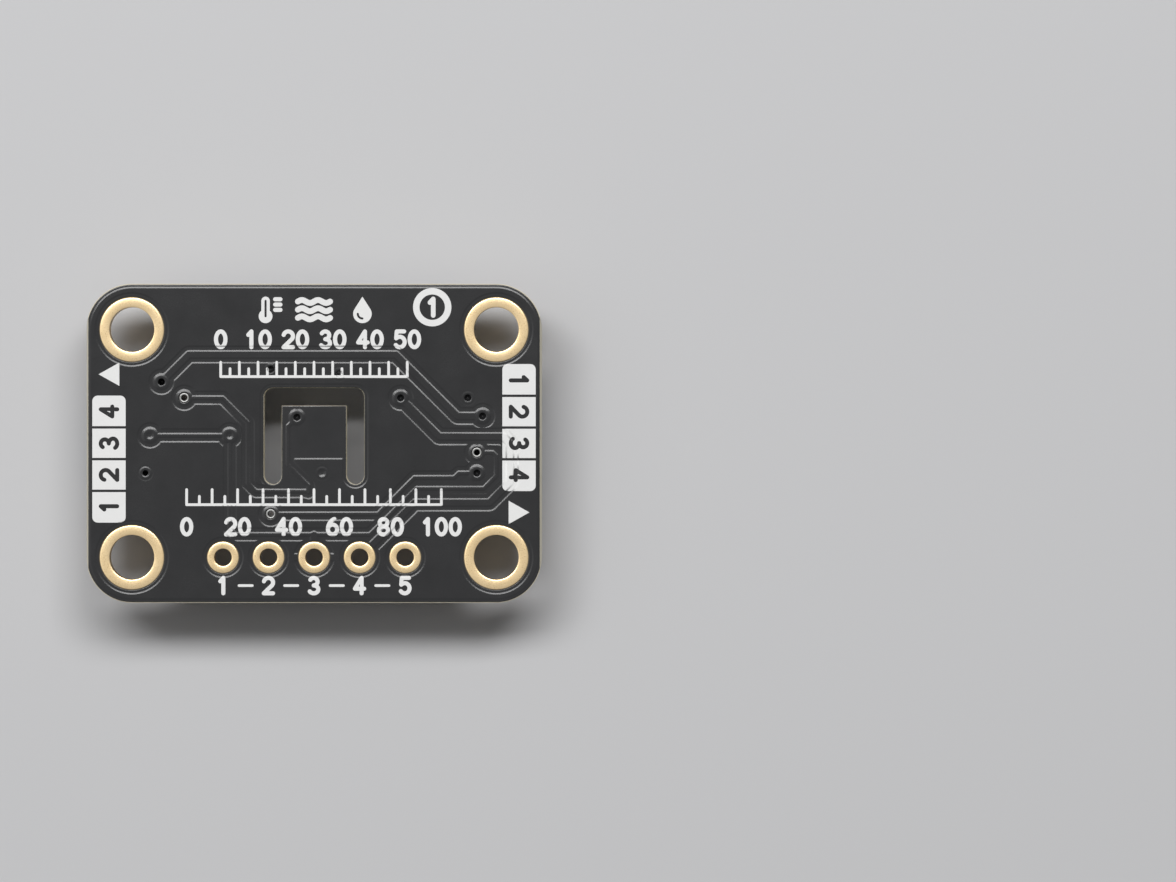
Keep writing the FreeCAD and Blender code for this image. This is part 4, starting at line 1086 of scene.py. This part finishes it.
# Sensor. A small epoxy block with a tapered round mouth, and under it the sensing film on its
# silicon, which shines green and violet.
FINGER_STEP = 0.00002
DIE_EDGE = 0.008


def film_paint():
    """Thin polymer over interleaved metal fingers."""
    paint, tree, grain, mottle = grained_paint("sensing_film", 0.12, 0.00003, 0.00025)
    shader_of(paint).inputs["Coat Weight"].default_value = 0.6
    x = own_axes(tree)["X"]
    fingers = calc(tree, "SINE", calc(tree, "MULTIPLY", x, 2 * math.pi / FINGER_STEP))
    colour = blend(tree, calc(tree, "GREATER_THAN", fingers, 0.2), (0.06, 0.14, 0.11),
                   (0.42, 0.40, 0.30))
    colour = blend(tree, mottle, colour, (0.20, 0.12, 0.30), 0.6)
    return finished(paint, colour, calc(tree, "ADD", fingers, grain), 0.000001)


sensor_epoxy = epoxy_paint("sensor_epoxy", "sensor_package", (0.12, 0.12), (0.028, 0.028, 0.030),
                           (0.056, 0.056, 0.058))
softened("sensor_package", "sensor_body", sensor_epoxy, CHIP_EDGE, sharp=0.6)
softened("sensor_die", "sensing_die", film_paint(), DIE_EDGE)

# Chip capacitors and the resistor array. Capacitors are fired tan ceramic between two tinned
# caps. The array is white alumina, glazed black on its far face, with tinned clips along it.
CERAMIC_EDGE = 0.02
CAP_EDGE = 0.025
CLIP_EDGE = 0.012
GLAZE = 0.00004
GLAZE_WANDER = 0.00003


def ceramic_paint():
    paint, tree, grain, mottle = grained_paint("fired_ceramic", 0.42, 0.00005, 0.0006)
    colour = blend(tree, mottle, (0.46, 0.33, 0.21), (0.58, 0.45, 0.31))
    colour = blend(tree, calc(tree, "GREATER_THAN", grain, 0.6), colour, (0.30, 0.20, 0.12), 0.35)
    return finished(paint, colour, grain, 0.000006)


def alumina_paint():
    """White alumina, with a black glaze over the face away from the board."""
    paint, tree, grain, mottle = grained_paint("glazed_alumina", 0.35, 0.00005, 0.0009)
    glaze_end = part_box("resistor_array_block")[0].z + GLAZE
    wandering = scaled(tree, grain, -GLAZE_WANDER, own_axes(tree)["Z"])
    glazed = calc(tree, "LESS_THAN", wandering, glaze_end)
    white = blend(tree, mottle, (0.62, 0.61, 0.58), (0.74, 0.73, 0.70))
    black = blend(tree, grain, (0.012, 0.012, 0.013), (0.035, 0.035, 0.036))
    return finished(paint, blend(tree, glazed, white, black), grain, 0.000005,
                    scaled(tree, glazed, -0.32, 0.55))


fired_ceramic = ceramic_paint()
capacitors = ("input_capacitor", "output_capacitor", "sensor_capacitor")
for name in capacitors:
    softened(name + "_block", name + "_ceramic", fired_ceramic,
             CERAMIC_EDGE, sharp=0.3)
    for end in ("left", "right"):
        softened("%s_terminal_%s" % (name, end), "%s_cap_%s" % (name, end),
                 bright_tin, CAP_EDGE, sharp=0.3)
softened("resistor_array_block", "array_body", alumina_paint(), CERAMIC_EDGE)
softened("resistor_array_terminals", "array_clips", bright_tin, CLIP_EDGE)

# Solder. Tin alloy that was melted in an oven: a bright hollow fillet climbs from each land up
# the foot or terminal that stands on it.
SOLDER_INSET = 0.02
SOLDER_ROUND = 0.07
SOLDER_SKIN = 0.008
CONTACT_TAIL = 0.55
LEG_FOOT = 0.33
CONTACT_CLIMB, TAB_CLIMB, LEG_CLIMB, CLIP_CLIMB = 0.13, 0.14, 0.09, 0.3
CAP_SHARE = 0.32


def flat_box(node):
    low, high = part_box(node)
    return (low.x / MM, low.y / MM, high.x / MM, high.y / MM)


def end_of(box, length, lower):
    """The end of a leg's or contact's box, at its lower or upper X."""
    x0, y0, x1, y1 = box
    return (x0, y0, x0 + length, y1) if lower else (x1 - length, y0, x1, y1)


def between(first, second, share):
    return tuple(a + (b - a) * share for a, b in zip(first, second))


def fillet(foot, land, height, steps=4):
    """Rings of a hollow-sided lump, from the land up to the foot's own outline."""
    rings = []
    for n in range(steps + 1):
        climb = n / steps
        x0, y0, x1, y1 = between(land, foot, 1 - (1 - climb) ** 2)
        radius = min(SOLDER_ROUND * (1.1 - climb), (x1 - x0) / 3, (y1 - y0) / 3)
        half = ((x1 - x0) / 2, (y1 - y0) / 2)
        rings.append([(x + (x0 + x1) / 2, y + (y0 + y1) / 2, board_face - height * climb)
                      for x, y in plate_line(*half, radius, 3)])
    return rings


board_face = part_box("front_lands")[0].z / MM
feet = []
for side in ("left", "right"):
    for number in range(1, 5):
        box = flat_box("%s_socket_contact_%d" % (side, number))
        feet.append((end_of(box, CONTACT_TAIL, side == "right"), CONTACT_CLIMB))
    feet += [(flat_box("%s_socket_tab_%s" % (side, end)), TAB_CLIMB) for end in ("upper", "lower")]
for chip in ("regulator", "level_shifter"):
    middle = middle_of(chip + "_package")[0]
    feet += [(end_of(box, LEG_FOOT, box[0] + box[2] < middle * 2), LEG_CLIMB)
             for box in island_boxes(chip + "_legs")]
for name in capacitors:
    low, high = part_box(name + "_block")
    climb = (high.z - low.z) / MM * CAP_SHARE
    feet += [(flat_box("%s_terminal_%s" % (name, end)), climb) for end in ("left", "right")]
feet += [(box, CLIP_CLIMB) for box in island_boxes("resistor_array_terminals")]
points = []
skins = []
for foot, height in feet:
    spot = numpy.array([((foot[0] + foot[2]) / 2, (foot[1] + foot[3]) / 2)])
    x0, y0, x1, y1 = min(land_boxes, key=lambda box: off_box(spot, box)[0])
    inner = (x0 + SOLDER_INSET, y0 + SOLDER_INSET, x1 - SOLDER_INSET, y1 - SOLDER_INSET)
    close = (foot[0] - SOLDER_SKIN, max(foot[1] - SOLDER_SKIN, inner[1]),
             foot[2] + SOLDER_SKIN, min(foot[3] + SOLDER_SKIN, inner[3]))
    rings = fillet(close, inner, height)
    first = len(points)
    count = len(rings[0])
    last = first + count * (len(rings) - 1)
    points += [(x * MM, y * MM, z * MM) for ring in rings for x, y, z in ring]
    for start in range(first, last, count):
        for n in range(count):
            a, b = start + n, start + (n + 1) % count
            skins.append((a, a + count, b + count, b))
    skins += [tuple(range(first, first + count)), tuple(range(last + count - 1, last - 1, -1))]


def solder_paint():
    """Bright solder with a fine frozen skin."""
    paint, tree, grain, mottle = grained_paint("reflowed_solder", 0.24, 0.00008, 0.0004,
                                               metallic=1.0)
    colour = blend(tree, mottle, (0.82, 0.82, 0.82), (0.66, 0.66, 0.67))
    return finished(paint, colour, calc(tree, "ADD", grain, mottle), 0.000008,
                    scaled(tree, grain, 0.22, 0.12))


solder_joints = new_piece("solder_joints", points, skins)
solder_joints.data.materials.append(solder_paint())
solder_joints.data.shade_smooth()
solder_joints.data.set_sharp_from_angle(angle=0.9)
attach(solder_joints, "root")

# Floor, light and camera. A plain pale table under a long soft light beyond the board's upper
# edge and a weak one from the left, with the camera straight above it, as in the photograph.
# The room adds little light of its own, but is seen, and mirrored, brighter than that.
ROOM_SEEN = 0.7
ROOM_CAST = 0.1

floor = new_piece("floor", [(-1.5, -1.5, 0), (1.5, -1.5, 0), (1.5, 1.5, 0), (-1.5, 1.5, 0)],
                  [(0, 1, 2, 3)])
pale_table = new_paint("pale_table", 0.75)
shader_of(pale_table).inputs["Base Color"].default_value = (0.62, 0.62, 0.63, 1.0)
floor.data.materials.append(pale_table)

world = bpy.data.worlds.new("room")
bpy.context.scene.world = world
world.use_nodes = True
tree = world.node_tree
room = tree.nodes["Background"]
room.inputs["Color"].default_value = (0.86, 0.87, 0.88, 1.0)
rays = add_node(tree, "ShaderNodeLightPath").outputs
seen = calc(tree, "MAXIMUM", rays["Is Camera Ray"], rays["Is Glossy Ray"])
seen = calc(tree, "MAXIMUM", seen, rays["Is Transmission Ray"])
strength = scaled(tree, seen, ROOM_SEEN - ROOM_CAST, ROOM_CAST)
tree.links.new(strength, room.inputs["Strength"])


def area_light(name, place, width, height, power):
    """Soft light at a place, aimed at the module."""
    lamp = bpy.data.lights.new(name, "AREA")
    lamp.shape = "RECTANGLE"
    lamp.size = width
    lamp.size_y = height
    lamp.energy = power
    thing = new_object(name, lamp)
    thing.location = place
    thing.rotation_euler = (-Vector(place)).to_track_quat("-Z", "Y").to_euler()


area_light("key_light", (-0.03, 0.245, 0.44), 0.56, 0.14, 2.5)
area_light("fill_light", (-0.35, 0.05, 0.40), 0.50, 0.40, 0.3)

lens = bpy.data.cameras.new("camera")
lens.lens = 240
lens.sensor_width = 36
lens.clip_start = 0.01
camera = new_object("camera", lens)
camera.location = (0.015275, 0.00013, 0.4416)
bpy.context.scene.camera = camera
bpy.context.scene.view_settings.view_transform = "Standard"
